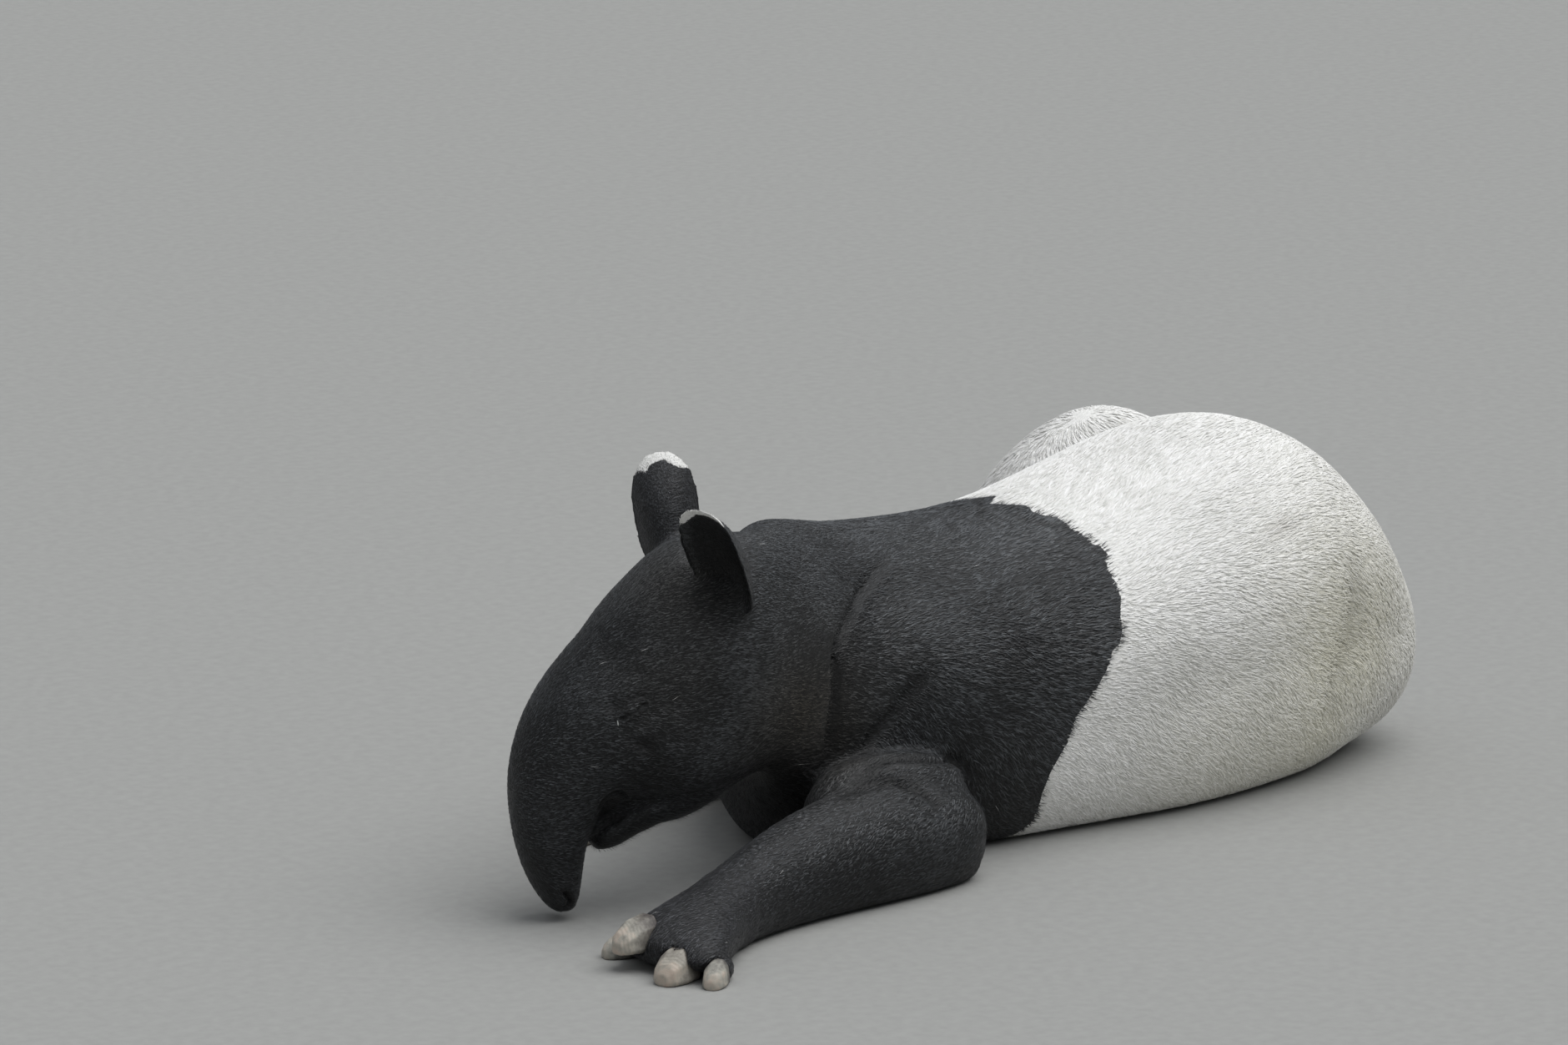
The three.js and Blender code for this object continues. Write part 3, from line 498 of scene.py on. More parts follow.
def makeSkin():
    mesh, owners = makeRoughSkin()
    print("skin faired:", len(mesh.vertices), "points")
    carver = Carver(mesh)
    for fold in bodyFolds.values():
        carver.furrow(**{**fold, "path": [placed(*p) for p in fold["path"]]})
    carver.finish()
    # the folds' depths, kept as the amount of painted shade
    setAttribute(mesh, "hollow", carver.hollow * 1000)
    mesh = thinned(mesh, belongsTo(skinShape["keptFine"], owners))
    print("skin thinned:", len(mesh.polygons), "faces")
    along, out, outward = face["nostril"]
    spots = [(eyeAxes(side)[0], reach) for side in (-1, 1) for reach in face["eyeRefined"]]
    spots += [(onHead(along, out, side * outward), face["nostrilRefined"]) for side in (-1, 1)]
    refined(mesh, spots)
    hollow, bare = carveFace(mesh)
    mesh.shade_smooth()
    return mesh, hollow * 1000, bare


skinMesh, facePaintedShade, bareSkin = makeSkin()
skin = linkedObject("skin", skinMesh)
print("skin carved:", len(skinMesh.polygons), "faces")


# Markings, tones and the lie of the hair, as attributes of the skin
markings = {
    "borderNoise": 5,  # mm that the hairs of the black and white border mix over
    "borderWaves": 0.2,  # how much of that the border's line wanders
    "borderFringe": 14, "fringeShorter": 0.45,  # mm beside the border where the hair is finer, and by how much
    "warmSpots": [  # place in mm, radius in mm, how much: brown on the black, straw on the white
        ((-400, -245, 235), 90, 0.9), ((-345, -240, 200), 60, 0.7), ((470, -260, 190), 150, 0.9),
        ((440, -270, 90), 120, 0.8), ((300, -300, 60), 160, 0.45), ((560, -120, 200), 170, 0.6),
        ((-560, -190, 400), 60, 0.5), ((-600, -215, 300), 70, 0.3)],
    "smudge": ((378, -277, 363), 13),
    # painted shade on the trunk's tip and under the jaw: place, and radius in metres
    "shadeSpots": [(onHead(465, 5), 0.06), (onHead(352, -85), 0.07), (onHead(300, -110), 0.05)],
    "blackShadeAmount": 2.3, "cupShade": 3.5, "deepest": 3.5,  # painted shade: in mm of fold that would look as dark
    "combed": {"down": 1.1, "below": 0.36}, "earSheen": 0.8,
    # painted shade on the undersides: how far down a surface faces, and how near the floor it lies
    "undersideShade": {"facing": 0.4, "facingFade": 0.7, "below": 0.2, "heightFade": 0.12},
    "rounds": {"border": 9, "lie": 60, "greyFeetAndEarSheen": 40, "bare": 40, "tufts": 45},  # of mixing over the skin
    "ears": {
        "ear_left": dict(root=onHead(56, -36, -88), up=(-57, -7, 105), opening=(-0.83, -0.28, -0.47)),
        "ear_right": dict(root=onHead(50, -20, 74), up=(2, 34, 150), opening=(0.62, 0.78, 0.05)),
    },
    "earLength": 0.158, "earWidth": 0.082, "earReach": 0.19,  # in metres
    "rimFrom": 0.8, "rimRagged": 0.02,  # as shares of the ear's length
}


def waves(u, v):
    # smooth waviness between -1 and 1 over two lengths in millimetres
    return (np.sin(v * 1.0 + 1.7 * np.sin(u * 0.31 + 0.9) + 0.8 * np.sin(v * 0.37 + 2.1))
            + 0.6 * np.sin(v * 1.9 - 1.3 * np.sin(u * 0.23 + 4.0) + u * 0.11)) / 1.6


def spotAt(points, place, radius):
    # 1 at a place, fading out with distance
    return np.exp(-(np.linalg.norm(points - place, axis=1) / radius) ** 2)


def earRim(points, normals):
    # how near each point is to the upper rim of an ear, and how far inside its cup, from 0 to 1
    nearest, cup = np.zeros(len(points)), np.zeros(len(points))
    for ear in markings["ears"].values():
        up = unit(np.array(ear["up"], float))
        opening = np.array(ear["opening"])
        opening = unit(opening - up * (opening @ up))
        offset = points - ear["root"]
        height, across = offset @ up / markings["earLength"], offset @ np.cross(up, opening)
        reach = np.hypot(across / (markings["earWidth"] / 2), (height - 0.46) / 0.54)
        ragged, edge = markings["rimRagged"] * waves(across * 900, height * 40), markings["rimFrom"]
        rim = np.clip((reach + ragged - edge) / 0.1, 0, 1) * np.clip((height + ragged - edge) / 0.08, 0, 1)
        inReach = np.linalg.norm(offset, axis=1) < markings["earReach"]
        nearest = np.maximum(nearest, rim * inReach)
        inside = np.clip(normals @ opening * 2, 0, 1) * np.clip((0.92 - reach) / 0.15, 0, 1)
        cup = np.maximum(cup, inside * inReach)
    return nearest, cup * (nearest < 0.1)


def dressSkin(mesh, facePaintedShade, bare):
    points, normals, rounds = pointsOf(mesh), normalsOf(mesh), markings["rounds"]
    owners, _ = nearestOf(partNames, points)
    _, toBlack = nearestOf([name for name in partNames if not parts[name]["white"]], points)
    _, toWhite = nearestOf([name for name in partNames if parts[name]["white"]], points)
    marking = averaged((toBlack - toWhite) * 1000, mesh, rounds["border"])
    mm = points * 1000
    line = waves(mm[:, 2] / 6 + mm[:, 0] / 14, mm[:, 1] / 9 + mm[:, 2] / 17)
    marking += markings["borderNoise"] * markings["borderWaves"] * line
    lie, combed = perPart("lie", owners), markings["combed"]
    onSaddle = belongsTo(("saddle", "shoulders"), owners)
    # combed down on the flank, level on the back
    lie[:, 2] -= onSaddle * combed["down"] * np.clip(1 - points[:, 2] / combed["below"], 0, 1)
    lie = unit(averaged(lie, mesh, rounds["lie"]))
    lie = unit(lie - normals * (lie * normals).sum(1)[:, None])
    warm = np.zeros(len(points))
    for place, radius, amount in markings["warmSpots"]:
        warm = np.maximum(warm, amount * spotAt(points, placed(*place), radius / 1000))
    feet = belongsTo([name for name in partNames if name.endswith("_foot")], owners)
    rightEarSheen = belongsTo(["ear_right"], owners) * markings["earSheen"]  # painted highlight: its back is made paler, as where light falls on it
    # grey on the feet is their own colour; on the right ear it is a painted highlight
    greyFeetAndEarSheen = averaged(feet + rightEarSheen, mesh, rounds["greyFeetAndEarSheen"])
    place, radius = markings["smudge"]
    smudge = spotAt(points, placed(*place), radius / 1000)
    hollow = arrayOf(mesh.attributes["hollow"].data, "value")
    mesh.attributes.remove(mesh.attributes["hollow"])
    rim, cup = earRim(points, normals)
    # painted shade inside the ears' cups
    hollow = np.maximum(hollow, cup * markings["cupShade"])
    # painted shade: the black is made deeper on the trunk's tip, the lips and jaw, and on the undersides near the
    # floor, where shade falls; the trunk's bare tip is also darker of itself
    undersideShade = markings["undersideShade"]
    under = np.clip((undersideShade["facing"] - normals[:, 2]) / undersideShade["facingFade"], 0, 1)
    under *= np.clip((undersideShade["below"] - points[:, 2]) / undersideShade["heightFade"], 0, 1)
    for place, radius in markings["shadeSpots"]:
        under = np.maximum(under, spotAt(points, place, radius))
    hollow = np.maximum(hollow, under * markings["blackShadeAmount"] * (marking < 0))
    found = {
        "marking": np.where(rim > 0.02, rim * 12 - 6, marking), "warm": warm, "greyFeetAndEarSheen": greyFeetAndEarSheen,
        "hollow": np.clip((hollow + facePaintedShade) / markings["deepest"], 0, 1), "smudge": smudge,
    }
    for name, values in found.items():
        setAttribute(mesh, name, values)
    fine = np.clip(averaged(bare, mesh, rounds["bare"]) * 5, 0, 1)
    sizes = np.column_stack([perPart("tuft", owners), perPart("dense", owners)])
    sizes = averaged(sizes, mesh, rounds["tufts"])
    fringe = np.exp(-(marking / markings["borderFringe"]) ** 2)
    sizes[:, :2] *= (1 - markings["fringeShorter"] * fringe)[:, None]  # a fine fringe where the colours meet
    return owners, {**found, "rim": rim, "lie": lie, "bare": bare, "fine": fine, "sizes": sizes}


owners, onSkin = dressSkin(skinMesh, facePaintedShade, bareSkin)
print("skin marked")


def unwrap(piece):
    # the skin's own unwrap, whose places the tufts' patches take
    bpy.context.view_layer.objects.active = piece
    piece.select_set(True)
    piece.data.uv_layers.new(name="OFBake")
    bpy.ops.object.mode_set(mode="EDIT")
    bpy.ops.mesh.select_all(action="SELECT")
    bpy.ops.uv.smart_project(angle_limit=math.radians(66), island_margin=0.001)
    bpy.ops.object.mode_set(mode="OBJECT")
    piece.select_set(False)


unwrap(skin)
print("skin unwrapped")


# Coat: tufts lying along the skin, each a closed spindle of six faces. patch: a tuft's size on the unwrap.
# sink in metres, jitter in degrees, widest as a share of the length, crest as a share of the width.
coat = {
    "pieceTufts": 32000, "patch": 0.003, "sink": 0.0006, "jitter": 10, "widest": 0.4, "crest": 0.2,
    "strays": 40, "strayHair": (13, 0.35, 2.5),  # a few long pale hairs: how many, length, width and lift in mm
    "chinHair": {"longer": 1.7, "finer": 0.55, "stand": 0.5}, "rimStand": 0.55,  # stand: how far off the skin
    "byEyes": (0.72, 0.45, 0.6, 0),  # how much shorter, narrower and flatter the tufts by the eyes are
    "bareFrom": 0.12, "fringeFiner": 0.55, "beneath": {"floor": 0.0004, "bare": 0.003, "facing": -0.8},
    "groups": {
        "coatHead": ["head", "jaw"], "coatEars": ["ear_left", "ear_right"], "coatNeck": ["neck"],
        "coatShoulders": ["shoulders"], "coatBack": ["saddle", "tail"],
        "coatHaunches": ["hindleg_left_thigh", "hindleg_right_thigh"],
        "coatForelegs": ["foreleg_left_upper", "foreleg_left_forearm", "foreleg_left_foot", "foreleg_right_forearm",
                         "foreleg_right_foot"],
        "coatHindlegs": ["hindleg_right_shank", "hindleg_right_foot", "hindleg_left_foot"],
    },
}


def scattered(mesh, owners, onSkin):
    # roots spread over the skin, as many on each face as its part of the body asks for
    mesh.calc_loop_triangles()
    corners, loops = (arrayOf(mesh.loop_triangles, key, 3, np.int32) for key in ("vertices", "loops"))
    uv = arrayOf(mesh.uv_layers["OFBake"].data, "uv", 2)
    points = pointsOf(mesh)
    a, b, c = (points[corners[:, k]] for k in range(3))
    area = np.linalg.norm(np.cross(b - a, c - a), axis=1) / 2
    tufts = area * onSkin["sizes"][corners, 3].mean(1) * (1 + 2 * onSkin["fine"][corners].mean(1)) * 1e4
    edges = np.cumsum(tufts)
    count = int(edges[-1])
    picked = np.searchsorted(edges, (np.arange(count) + rng.random(count)) / count * edges[-1])
    picked = np.minimum(picked, len(corners) - 1)
    r1, r2 = np.sqrt(rng.random(count)), rng.random(count)
    weights = np.stack([1 - r1, r1 * (1 - r2), r1 * r2], 1)[:, :, None]

    def at(values):
        values = values if values.ndim > 1 else values[:, None]
        return (values[corners[picked]] * weights).sum(1)

    made = {name: at(values)[:, 0] if values.ndim == 1 else at(values) for name, values in onSkin.items()}
    made["uv"] = (uv[loops[picked]] * weights).sum(1)
    made["root"], made["normal"] = at(points), unit(at(normalsOf(mesh)))
    made["owner"] = owners[corners[picked, 0]]
    return made


def tuftMesh(name, t):
    # five corners to a tuft: root, left, right, crest and tip
    count = len(t["root"])
    across = unit(np.cross(t["normal"], t["lie"]))
    root = t["root"] - t["normal"] * coat["sink"]
    belly = t["root"] + t["lie"] * (t["length"] * coat["widest"])[:, None]
    lifted = belly + t["normal"] * (t["lift"] * 0.45)[:, None]
    half = across * (t["width"] / 2)[:, None]
    crest = belly + t["normal"] * (t["lift"] * 0.45 + t["width"] * coat["crest"])[:, None]
    co = np.stack([root, lifted - half, lifted + half, crest, t["tip"]], 1).reshape(-1, 3)
    co[:, 2] = np.maximum(co[:, 2], coat["beneath"]["floor"])
    pattern = np.array([[0, 2, 1], [4, 1, 2], [0, 1, 3], [0, 3, 2], [4, 3, 1], [4, 2, 3]])
    faces = (np.arange(count)[:, None, None] * 5 + pattern).reshape(-1, 3)
    mesh = bpy.data.meshes.new(name)
    mesh.vertices.add(len(co))
    mesh.vertices.foreach_set("co", co.astype(np.float32).ravel())
    mesh.loops.add(faces.size)
    mesh.loops.foreach_set("vertex_index", faces.astype(np.int32).ravel())
    mesh.polygons.add(len(faces))
    mesh.polygons.foreach_set("loop_start", np.arange(0, faces.size, 3, dtype=np.int32))
    mesh.update(calc_edges=True)
    layer = mesh.uv_layers.new(name="OFBake")
    spread = np.array([[0.5, 0], [0, 0.4], [1, 0.4], [0.5, 0.5], [0.5, 1]]) - 0.5
    patch = (t["uv"][:, None, :] + spread * coat["patch"]).reshape(-1, 2)
    layer.data.foreach_set("uv", patch[faces.ravel()].astype(np.float32).ravel())
    for key in ("white", "strand", "warm", "greyFeetAndEarSheen", "hollow", "smudge"):
        setAttribute(mesh, key, np.repeat(t[key], 5))
    setAttribute(mesh, "reach", np.tile([0.0, 0.4, 0.4, 0.45, 1.0], count))
    mesh.shade_flat()
    return mesh


def growCoat():
    t = scattered(skinMesh, owners, onSkin)
    count = len(t["root"])
    sizes = t["sizes"] / 1000 * (1 - np.array(coat["byEyes"]) * t["fine"][:, None])
    fur = t["bare"] < coat["bareFrom"]
    resting = (t["root"][:, 2] < coat["beneath"]["bare"]) & (t["normal"][:, 2] < coat["beneath"]["facing"])
    fur &= ~resting  # no hair where the body lies on the floor
    mm, across = t["root"] * 1000, unit(np.cross(t["normal"], t["lie"]))
    along, over = (mm * t["lie"]).sum(1), (mm * across).sum(1)
    # the lie sways by some degrees, as fur does where the flesh moves under it
    sway = 7 * np.sin(mm[:, 0] / 31 + 2 * np.sin(mm[:, 2] / 43)) + 6 * np.sin(mm[:, 2] / 23 + mm[:, 1] / 37)
    angle = np.radians(sway + rng.normal(0, coat["jitter"], count))
    t["lie"] = unit(t["lie"] * np.cos(angle)[:, None] + across * np.sin(angle)[:, None])
    scale = rng.uniform(0.7, 1.3, count)
    t["length"], t["width"] = sizes[:, 0] * scale, sizes[:, 1] * rng.uniform(0.75, 1.25, count)
    t["lift"] = sizes[:, 2] * rng.uniform(0.6, 1.4, count)
    atBorder = np.abs(t["marking"]) < markings["borderFringe"]  # finer, so that the colours run into each other
    t["width"][atBorder] *= coat["fringeFiner"]
    t["white"] = (t["marking"] + rng.normal(0, markings["borderNoise"], count) > 0).astype(float)
    t["strand"] = np.clip(0.5 + 0.26 * waves(along / 9, over / 1.1) + rng.normal(0, 0.16, count), 0, 1)
    black = np.flatnonzero(t["white"] < 0.5)
    strays = rng.choice(black, coat["strays"], replace=False)
    for key, size in zip(("length", "width", "lift"), coat["strayHair"]):
        t[key][strays] = size / 1000
    t["white"][strays] = t["strand"][strays] = 1.0
    chin, chinHair = belongsTo(["jaw"], t["owner"]) & (t["normal"][:, 2] < 0), coat["chinHair"]
    t["length"][chin] *= chinHair["longer"]
    t["width"][chin] *= chinHair["finer"]
    stand = np.where(chin, chinHair["stand"], coat["rimStand"] * t["rim"])
    find = treeOf(skinMesh).find_nearest
    reach = t["root"] + t["lie"] * t["length"][:, None]
    t["tip"] = np.empty_like(reach)
    for i, p in enumerate(reach.tolist()):
        spot, normal, _, _ = find(p)
        t["tip"][i] = spot + normal * t["lift"][i]
    raised = t["root"] + (t["normal"] * 0.75 + t["lie"] * 0.6) * t["length"][:, None]
    t["tip"] += (raised - t["tip"]) * stand[:, None]  # hair that stands off under the chin and on the ears' rims
    for label, names in coat["groups"].items():
        members = np.flatnonzero(belongsTo(names, t["owner"]) & fur)
        members = members[np.argsort(t["root"][members, 0], kind="stable")]
        pieces = max(1, math.ceil(len(members) / coat["pieceTufts"]))
        for k, chosen in enumerate(np.array_split(members, pieces)):
            name = label if pieces == 1 else label + "ABCDEFGH"[k]
            mesh = tuftMesh(name, {key: values[chosen] for key, values in t.items()})
            yield linkedObject(name, mesh)
    print("coat grown:", count, "tufts")


coatPieces = list(growCoat())


# Hooves: one closed horn shell for each toe, with rings where it grew. ring and ringHeight in mm,
# voxel and fuller in metres.
hooves = {"voxel": 0.0013, "smoothing": 5, "smoothShare": 0.55, "ring": 4.2, "ringHeight": 0.16, "fuller": 0.0004}
hoofNames = sorted(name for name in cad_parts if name.startswith("hoof"))


def makeHooves():
    corners, faces, growth, toeTint, start = [], [], [], [], 0
    for k, name in enumerate(hoofNames):
        mesh = remeshed(joinedCopy([name], "toe"), "toe", hooves["voxel"])
        points = averaged(pointsOf(mesh), mesh, hooves["smoothing"], hooves["smoothShare"])
        end, side = name[5:9], name[9:].split("_")[0]
        low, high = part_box(end + "leg_" + side + "_foot")
        ahead = points.mean(0) - (np.array(low) + np.array(high)) / 2
        ahead = unit(ahead * (1, 1, 0))
        along = points @ ahead
        along = (along - along.min()) * 1000
        setPoints(mesh, points)
        ring = np.sin(2 * math.pi * along / hooves["ring"] + 1.2 * np.sin(points[:, 2] * 260 + k))
        fade = np.clip(along / 8, 0, 1) * np.clip((along.max() - along) / 10, 0, 1)
        points += normalsOf(mesh) * (hooves["fuller"] + hooves["ringHeight"] / 1000 * ring * fade)[:, None]
        points[:, 2] = np.maximum(points[:, 2], 0.0)
        corners.append(points)
        faces += [[start + v for v in face.vertices] for face in mesh.polygons]
        growth.append(along / along.max())
        toeTint.append(np.full(len(points), (k * 0.37) % 1))
        start += len(points)
    made = bpy.data.meshes.new("hooves")
    made.from_pydata(np.vstack(corners).tolist(), [], faces)
    setAttribute(made, "growth", np.concatenate(growth))
    setAttribute(made, "toeTint", np.concatenate(toeTint))
    made.shade_smooth()
    return linkedObject("hooves", made)


hoofPiece = makeHooves()
print("hooves made:", len(hoofPiece.data.polygons), "faces")


# Eyes: a wet ball behind closed lids, and the tear line that runs from the inner corner. radii, depth
# and tear in mm, and how far the tear lies below the corner and out of the skin in metres.
eyes = {
    "radii": (17, 14, 7), "depth": 74.6, "segments": (56, 36),
    "tear": (0.8, 3.4, 0.6), "tearPast": 1.08, "tearBelow": 0.003, "tearOut": 0.0006, "tearFalls": (0.1, -0.1, -1.0),
}


def axesMatrix(x, y, z, place):
    return Matrix.Translation(place) @ Matrix((x, y, z)).transposed().to_4x4()


def smoothPiece(name, made):
    # closes off a bmesh as a smooth object with its faces outwards
    bmesh.ops.recalc_face_normals(made, faces=made.faces)
    mesh = bpy.data.meshes.new(name)
    made.to_mesh(mesh)
    made.free()
    mesh.shade_smooth()
    return linkedObject(name, mesh)


def makeEye(name, side):
    _, slit, across = eyeAxes(side)
    along, out, _ = face["eye"]
    a, b, c = (r / 1000 for r in eyes["radii"])
    u, v = eyes["segments"]
    ball = bmesh.new()
    place = axesMatrix(slit * a, across * b, sideways * side * c, onHead(along, out, eyes["depth"] * side))
    bmesh.ops.create_uvsphere(ball, u_segments=u, v_segments=v, radius=1, matrix=place)
    return smoothPiece(name, ball)


def makeTears():
    tears = bmesh.new()
    find, down = treeOf(skinMesh).find_nearest, np.array(eyes["tearFalls"])
    for side in (-1, 1):
        middle, slit, _ = eyeAxes(side)
        corner = middle + slit * face["slit"] / 2000 * eyes["tearPast"]
        spot, normal, _, _ = find(Vector(corner - np.array([0, 0, eyes["tearBelow"]])))
        normal = np.array(normal)
        falls = unit(down - normal * (normal @ down))
        a, b, c = (r / 1000 for r in eyes["tear"])
        place = axesMatrix(
            np.cross(falls, normal) * a, falls * b, normal * c, np.array(spot) + normal * eyes["tearOut"])
        bmesh.ops.create_icosphere(tears, subdivisions=4, radius=1, matrix=place)
    return smoothPiece("tearLines", tears)


eyeLeft, eyeRight, tearLines = makeEye("eyeballLeft", -1), makeEye("eyeballRight", 1), makeTears()
print("eyes made")


# Short-haired hide, grown: each hair is matt along its length and shines a little across it, so the
# black looks slate grey where it faces the sky and the white never looks like paint
furColours = {
    "black": ("#050506", "#151617", "#54575a"), "brown": ("#080705", "#1d1913", "#554d3f"),
    "feetGreyAndEarSheen": ("#0b0b0c", "#1d1d1f", "#515256"), "white": ("#c6c6c0", "#eae9e5", "#fbfaf8"),
    # the last colour on the next line is the near black that painted shade in folds darkens toward
    "straw": ("#c6c1a2", "#e0dbbe", "#f1edd8"), "dust": "#8d867c", "foldShadow": "#040404",
    "stops": (0.05, 0.48, 0.95),
    "cloud": 9.0, "cloudShare": 0.5,  # cloudy tones some 110 mm across
    # shares of the tones; then how far painted shade in a fold darkens the black, and the white
    "shares": {"brown": 0.8, "feetGreyAndEarSheen": 0.75, "straw": 0.7, "dust": 0.5}, "depth": 0.75, "foldShadowOnWhite": 0.2,
    "borderGrain": 220.0, "hairGrain": 420.0,
}


def furColour(tree, place, whiteness, strand):
    # the markings' colours, from the attributes that the skin and the tufts both carry, with painted shade in folds
    # and underneath and a painted highlight on the right ear's back
    warm, greyFeetAndEarSheen, hollow, smudge = (
        addNode(tree, "ShaderNodeAttribute", attribute_name=name).outputs["Fac"]
        for name in ("warm", "greyFeetAndEarSheen", "hollow", "smudge"))
    cloud = addNode(tree, "ShaderNodeTexNoise", {
        "Vector": place, "Scale": furColours["cloud"], "Detail": 3.0}).outputs["Fac"]
    share = furColours["cloudShare"]
    shade = addNode(tree, "ShaderNodeMath", {0: cloud, 1: share, 2: strand}, operation="MULTIPLY_ADD").outputs[0]
    shade = addNode(tree, "ShaderNodeMath", {0: shade, 1: share / 2}, operation="SUBTRACT").outputs[0]
    tones = {"dust": linear(furColours["dust"])}
    for name in ("black", "brown", "feetGreyAndEarSheen", "white", "straw"):
        stops = list(zip(furColours["stops"], furColours[name]))
        tones[name] = addNode(tree, "ShaderNodeValToRGB", {"Fac": shade}, stops=stops).outputs[0]
    black, white = tones["black"], tones["white"]
    # grey over the black: the feet's own colour, and a painted highlight on the right ear's back
    for amount, over in ((warm, "brown"), (greyFeetAndEarSheen, "feetGreyAndEarSheen"), (warm, "straw"), (smudge, "dust")):
        onBlack = over in ("brown", "feetGreyAndEarSheen")
        part = addNode(tree, "ShaderNodeMath", {0: amount, 1: furColours["shares"][over]}, operation="MULTIPLY")
        mixed = addNode(tree, "ShaderNodeMix", {
            0: part.outputs[0], 6: black if onBlack else white, 7: tones[over]}, data_type="RGBA").outputs[2]
        black, white = (mixed, white) if onBlack else (black, mixed)
    both = addNode(tree, "ShaderNodeMix", {0: whiteness, 6: black, 7: white}, data_type="RGBA").outputs[2]
    # painted shade: the coat is darker in a fold, and far less so where it is white
    less = addNode(tree, "ShaderNodeMath", {
        0: whiteness, 1: furColours["foldShadowOnWhite"] - furColours["depth"], 2: furColours["depth"]},
        operation="MULTIPLY_ADD").outputs[0]
    foldShadeAmount = addNode(tree, "ShaderNodeMath", {0: hollow, 1: less}, operation="MULTIPLY").outputs[0]
    return addNode(tree, "ShaderNodeMix", {
        0: foldShadeAmount, 6: both, 7: linear(furColours["foldShadow"])}, data_type="RGBA").outputs[2]


def makeHide():
    material, tree, place = newMaterial("shortFurHide")
    marking = addNode(tree, "ShaderNodeAttribute", attribute_name="marking").outputs["Fac"]
    # hair tips some 4 mm across break the border between black and white
    grain = addNode(tree, "ShaderNodeTexNoise", {"Vector": place, "Scale": furColours["borderGrain"]}).outputs["Fac"]
    edge = addNode(tree, "ShaderNodeMath", {0: grain, 1: 9.0, 2: marking}, operation="MULTIPLY_ADD").outputs[0]
    whiteness = addNode(tree, "ShaderNodeMapRange", {"Value": edge, "From Min": 3.5, "From Max": 5.5}).outputs[0]
    # hair clumps 1 mm across and 5 mm long, drawn twice as coarse so that they show
    combed = addNode(tree, "ShaderNodeMapping", {"Vector": place, "Scale": (0.25, 1.0, 1.0)}).outputs[0]
    hairs = addNode(tree, "ShaderNodeTexNoise", {
        "Vector": combed, "Scale": furColours["hairGrain"], "Detail": 4.0}).outputs["Fac"]
    colour = furColour(tree, place, whiteness, hairs)
    bump = addNode(tree, "ShaderNodeBump", {"Height": hairs, "Strength": 1.0, "Distance": 0.0016})
    shader = addNode(tree, "ShaderNodeBsdfPrincipled", {
        "Base Color": colour, "Normal": bump.outputs[0], "Roughness": 0.52, "IOR": 1.5, "Specular IOR Level": 0.32,
        "Sheen Weight": 0.08, "Sheen Roughness": 0.4})
    addNode(tree, "ShaderNodeOutputMaterial", {"Surface": shader.outputs[0]})
    return material


def makeHair():
    # Short tapir hair, grown: keratin strands in clumps, paler to the tip, with a soft gloss along each clump
    material, tree, place = newMaterial("shortFurHair")
    white, strand, reach = (
        addNode(tree, "ShaderNodeAttribute", attribute_name=name).outputs["Fac"]
        for name in ("white", "strand", "reach"))
    lit = addNode(tree, "ShaderNodeMath", {0: reach, 1: 0.22, 2: strand}, operation="MULTIPLY_ADD").outputs[0]
    colour = furColour(tree, place, white, lit)
    shader = addNode(tree, "ShaderNodeBsdfPrincipled", {
        "Base Color": colour, "Roughness": 0.48, "IOR": 1.55, "Specular IOR Level": 0.38,
        "Sheen Weight": 0.08, "Sheen Roughness": 0.4})
    addNode(tree, "ShaderNodeOutputMaterial", {"Surface": shader.outputs[0]})
    return material


def makeHorn():
    # Hoof horn, grown in rings from the cuff: pale and pinkish to the tip, blotched dark by the cuff, and
    # scuffed dull by the ground
    material, tree, place = newMaterial("hoofHornScuffed")
    growth = addNode(tree, "ShaderNodeAttribute", attribute_name="growth").outputs["Fac"]
    tint = addNode(tree, "ShaderNodeAttribute", attribute_name="toeTint").outputs["Fac"]
    # blotches 14 mm across, scuffs 1 mm across drawn twice as coarse
    blotch = addNode(tree, "ShaderNodeTexNoise", {
        "Vector": place, "Scale": 70.0, "Detail": 5.0, "Roughness": 0.62}).outputs["Fac"]
    spread = addNode(tree, "ShaderNodeMath", {0: blotch, 1: 1.5, 2: growth}, operation="MULTIPLY_ADD").outputs[0]
    horn = addNode(tree, "ShaderNodeValToRGB", {
        "Fac": addNode(tree, "ShaderNodeMapRange", {"Value": spread, "From Min": 0.7, "From Max": 1.9}).outputs[0]},
        stops=[(0.05, "#353336"), (0.3, "#66645f"), (0.55, "#94928a"), (0.85, "#b8b4a8")])
    pink = addNode(tree, "ShaderNodeMapRange", {
        "Value": spread, "From Min": 1.5, "From Max": 2.0, "To Max": 0.55}).outputs[0]
    blush = addNode(tree, "ShaderNodeMix", {0: pink, 6: horn.outputs[0], 7: linear("#bd9c8b")}, data_type="RGBA")
    warmth = addNode(tree, "ShaderNodeMath", {0: tint, 1: 0.2}, operation="MULTIPLY").outputs[0]
    worn = addNode(tree, "ShaderNodeMix", {
        0: warmth, 6: blush.outputs[2], 7: linear("#a8937f")}, data_type="RGBA")
    scuffs = addNode(tree, "ShaderNodeTexNoise", {"Vector": place, "Scale": 420.0, "Detail": 5.0}).outputs["Fac"]
    rough = addNode(tree, "ShaderNodeMapRange", {"Value": scuffs, "To Min": 0.45, "To Max": 0.75}).outputs[0]
    bump = addNode(tree, "ShaderNodeBump", {"Height": scuffs, "Strength": 0.5, "Distance": 0.0005})
    shader = addNode(tree, "ShaderNodeBsdfPrincipled", {
        "Base Color": worn.outputs[2], "Roughness": rough, "Normal": bump.outputs[0], "IOR": 1.54,
        "Specular IOR Level": 0.4})
    addNode(tree, "ShaderNodeOutputMaterial", {"Surface": shader.outputs[0]})
    return material


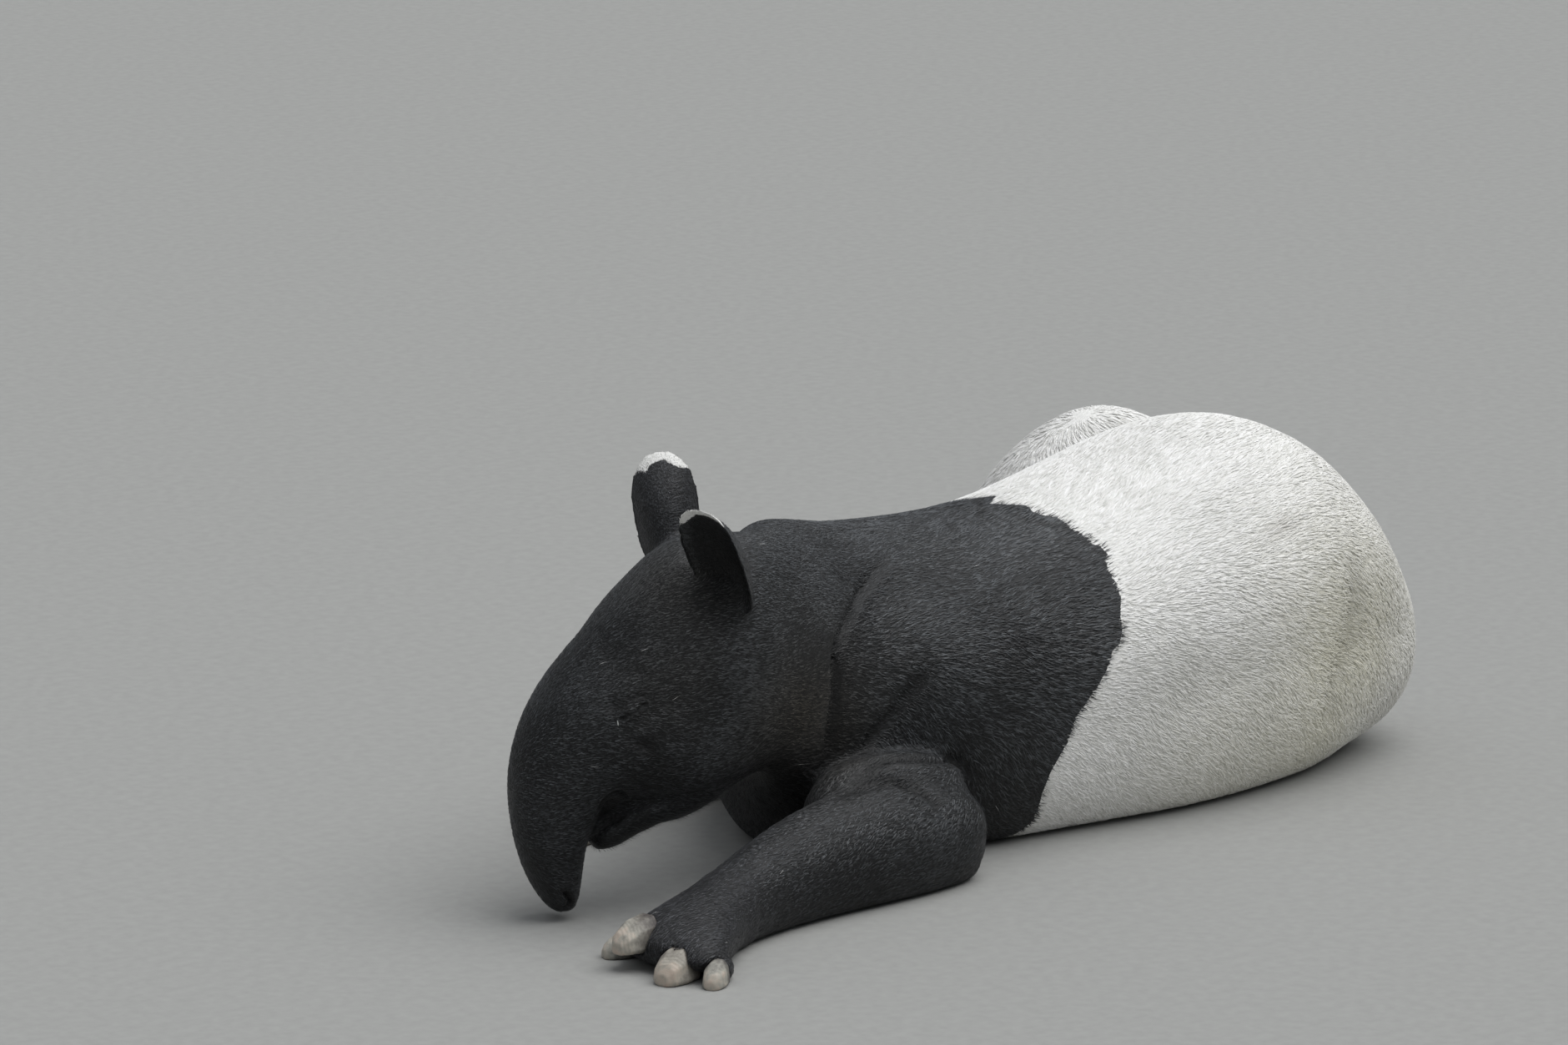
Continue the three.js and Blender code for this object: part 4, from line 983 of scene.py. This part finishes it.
def makeEyeball():
    # Eyeball, living: a near-black brown under a film of tears that gives sharp small lights
    material, tree, place = newMaterial("wetEyeball")
    # clouds of the iris 3 mm across
    iris = addNode(tree, "ShaderNodeTexNoise", {"Vector": place, "Scale": 300.0, "Detail": 3.0}).outputs["Fac"]
    colour = addNode(tree, "ShaderNodeValToRGB", {"Fac": iris}, stops=[(0.3, "#0a0605"), (0.7, "#22150e")])
    shader = addNode(tree, "ShaderNodeBsdfPrincipled", {
        "Base Color": colour.outputs[0], "Roughness": 0.12, "IOR": 1.38, "Coat Weight": 1.0, "Coat Roughness": 0.03})
    addNode(tree, "ShaderNodeOutputMaterial", {"Surface": shader.outputs[0]})
    return material


def makeTear():
    # Tear at the inner corner: a wet bead that catches the sky, and whose milky pale colour is a painted highlight
    material, tree, place = newMaterial("tearWithPaintedGlint")
    cloud = addNode(tree, "ShaderNodeTexNoise", {"Vector": place, "Scale": 900.0}).outputs["Fac"]  # 1 mm across
    colour = addNode(tree, "ShaderNodeValToRGB", {"Fac": cloud}, stops=[(0.3, "#8f9290"), (0.7, "#dcdedb")])
    shader = addNode(tree, "ShaderNodeBsdfPrincipled", {
        "Base Color": colour.outputs[0], "Roughness": 0.2, "IOR": 1.34, "Coat Weight": 1.0, "Coat Roughness": 0.05})
    addNode(tree, "ShaderNodeOutputMaterial", {"Surface": shader.outputs[0]})
    return material


hide, hair, horn, eyeball, tear = makeHide(), makeHair(), makeHorn(), makeEyeball(), makeTear()
skinMesh.materials.append(hide)
for piece in coatPieces:
    piece.data.materials.append(hair)
hoofPiece.data.materials.append(horn)
eyeLeft.data.materials.append(eyeball)
eyeRight.data.materials.append(eyeball)
tearLines.data.materials.append(tear)
print("materials made")


# Every piece hangs from the root body, and the solids that the pieces stand in for are hidden
pieces = [skin, hoofPiece, eyeLeft, eyeRight, tearLines] + coatPieces
for piece in pieces:
    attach(piece, "root")
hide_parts(*partNames)
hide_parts(*hoofNames)
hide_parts("eye_left")
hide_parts("eye_right")


# Floor, and the light of an open sky
studio = {
    "floor": ("#949491", "#9a9a97"), "floorSize": 30, "floorGrain": 60.0, "floorRoughness": 0.85,
    "sky": "#eef2f8", "skyStrength": (0.03, 0.8), "sunTurn": (15, 18), "sunStrength": 2.25, "sunAngle": 60,
    "fill": 4, "fillSize": 3, "fillAt": (-3.5, -4.5, 2.6),
}


def makeFloor():
    made = bmesh.new()
    bmesh.ops.create_grid(made, x_segments=1, y_segments=1, size=studio["floorSize"])
    mesh = bpy.data.meshes.new("floor")
    made.to_mesh(mesh)
    made.free()
    # Concrete, ground and sealed: a pale even grey that only carries the shadow
    material, tree, place = newMaterial("paleFloor")
    grain = addNode(tree, "ShaderNodeTexNoise", {"Vector": place, "Scale": studio["floorGrain"]}).outputs["Fac"]
    colour = addNode(tree, "ShaderNodeValToRGB", {"Fac": grain}, stops=list(zip((0.3, 0.7), studio["floor"])))
    shader = addNode(tree, "ShaderNodeBsdfPrincipled", {
        "Base Color": colour.outputs[0], "Roughness": studio["floorRoughness"]})
    addNode(tree, "ShaderNodeOutputMaterial", {"Surface": shader.outputs[0]})
    mesh.materials.append(material)
    linkedObject("floor", mesh)


def makeSky():
    world = bpy.data.worlds.new("sky")
    world.use_nodes = True
    sky = world.node_tree
    background = sky.nodes["Background"]
    background.inputs["Color"].default_value = linear(studio["sky"])
    toSky = addNode(sky, "ShaderNodeTexCoord").outputs["Generated"]
    height = addNode(sky, "ShaderNodeSeparateXYZ", {0: toSky}).outputs["Z"]
    low, high = studio["skyStrength"]  # brightest overhead, as under cloud
    glow = addNode(sky, "ShaderNodeMapRange", {"Value": height, "From Min": 0.0, "To Min": low, "To Max": high})
    sky.links.new(glow.outputs[0], background.inputs["Strength"])
    bpy.context.scene.world = world


def makeStudio():
    makeFloor()
    makeSky()
    sun = bpy.data.lights.new("overcastSky", "SUN")
    sun.energy, sun.angle = studio["sunStrength"], math.radians(studio["sunAngle"])
    linkedObject("overcastSky", sun).rotation_euler = [math.radians(a) for a in studio["sunTurn"]] + [0]
    fill = bpy.data.lights.new("fill", "AREA")
    fill.energy, fill.size = studio["fill"], studio["fillSize"]
    lamp = linkedObject("fill", fill)
    lamp.location = studio["fillAt"]
    lamp.rotation_euler = Vector(studio["fillAt"]).to_track_quat("Z", "Y").to_euler()
    bpy.context.scene.view_settings.view_transform = "Standard"


makeStudio()
print("studio made")
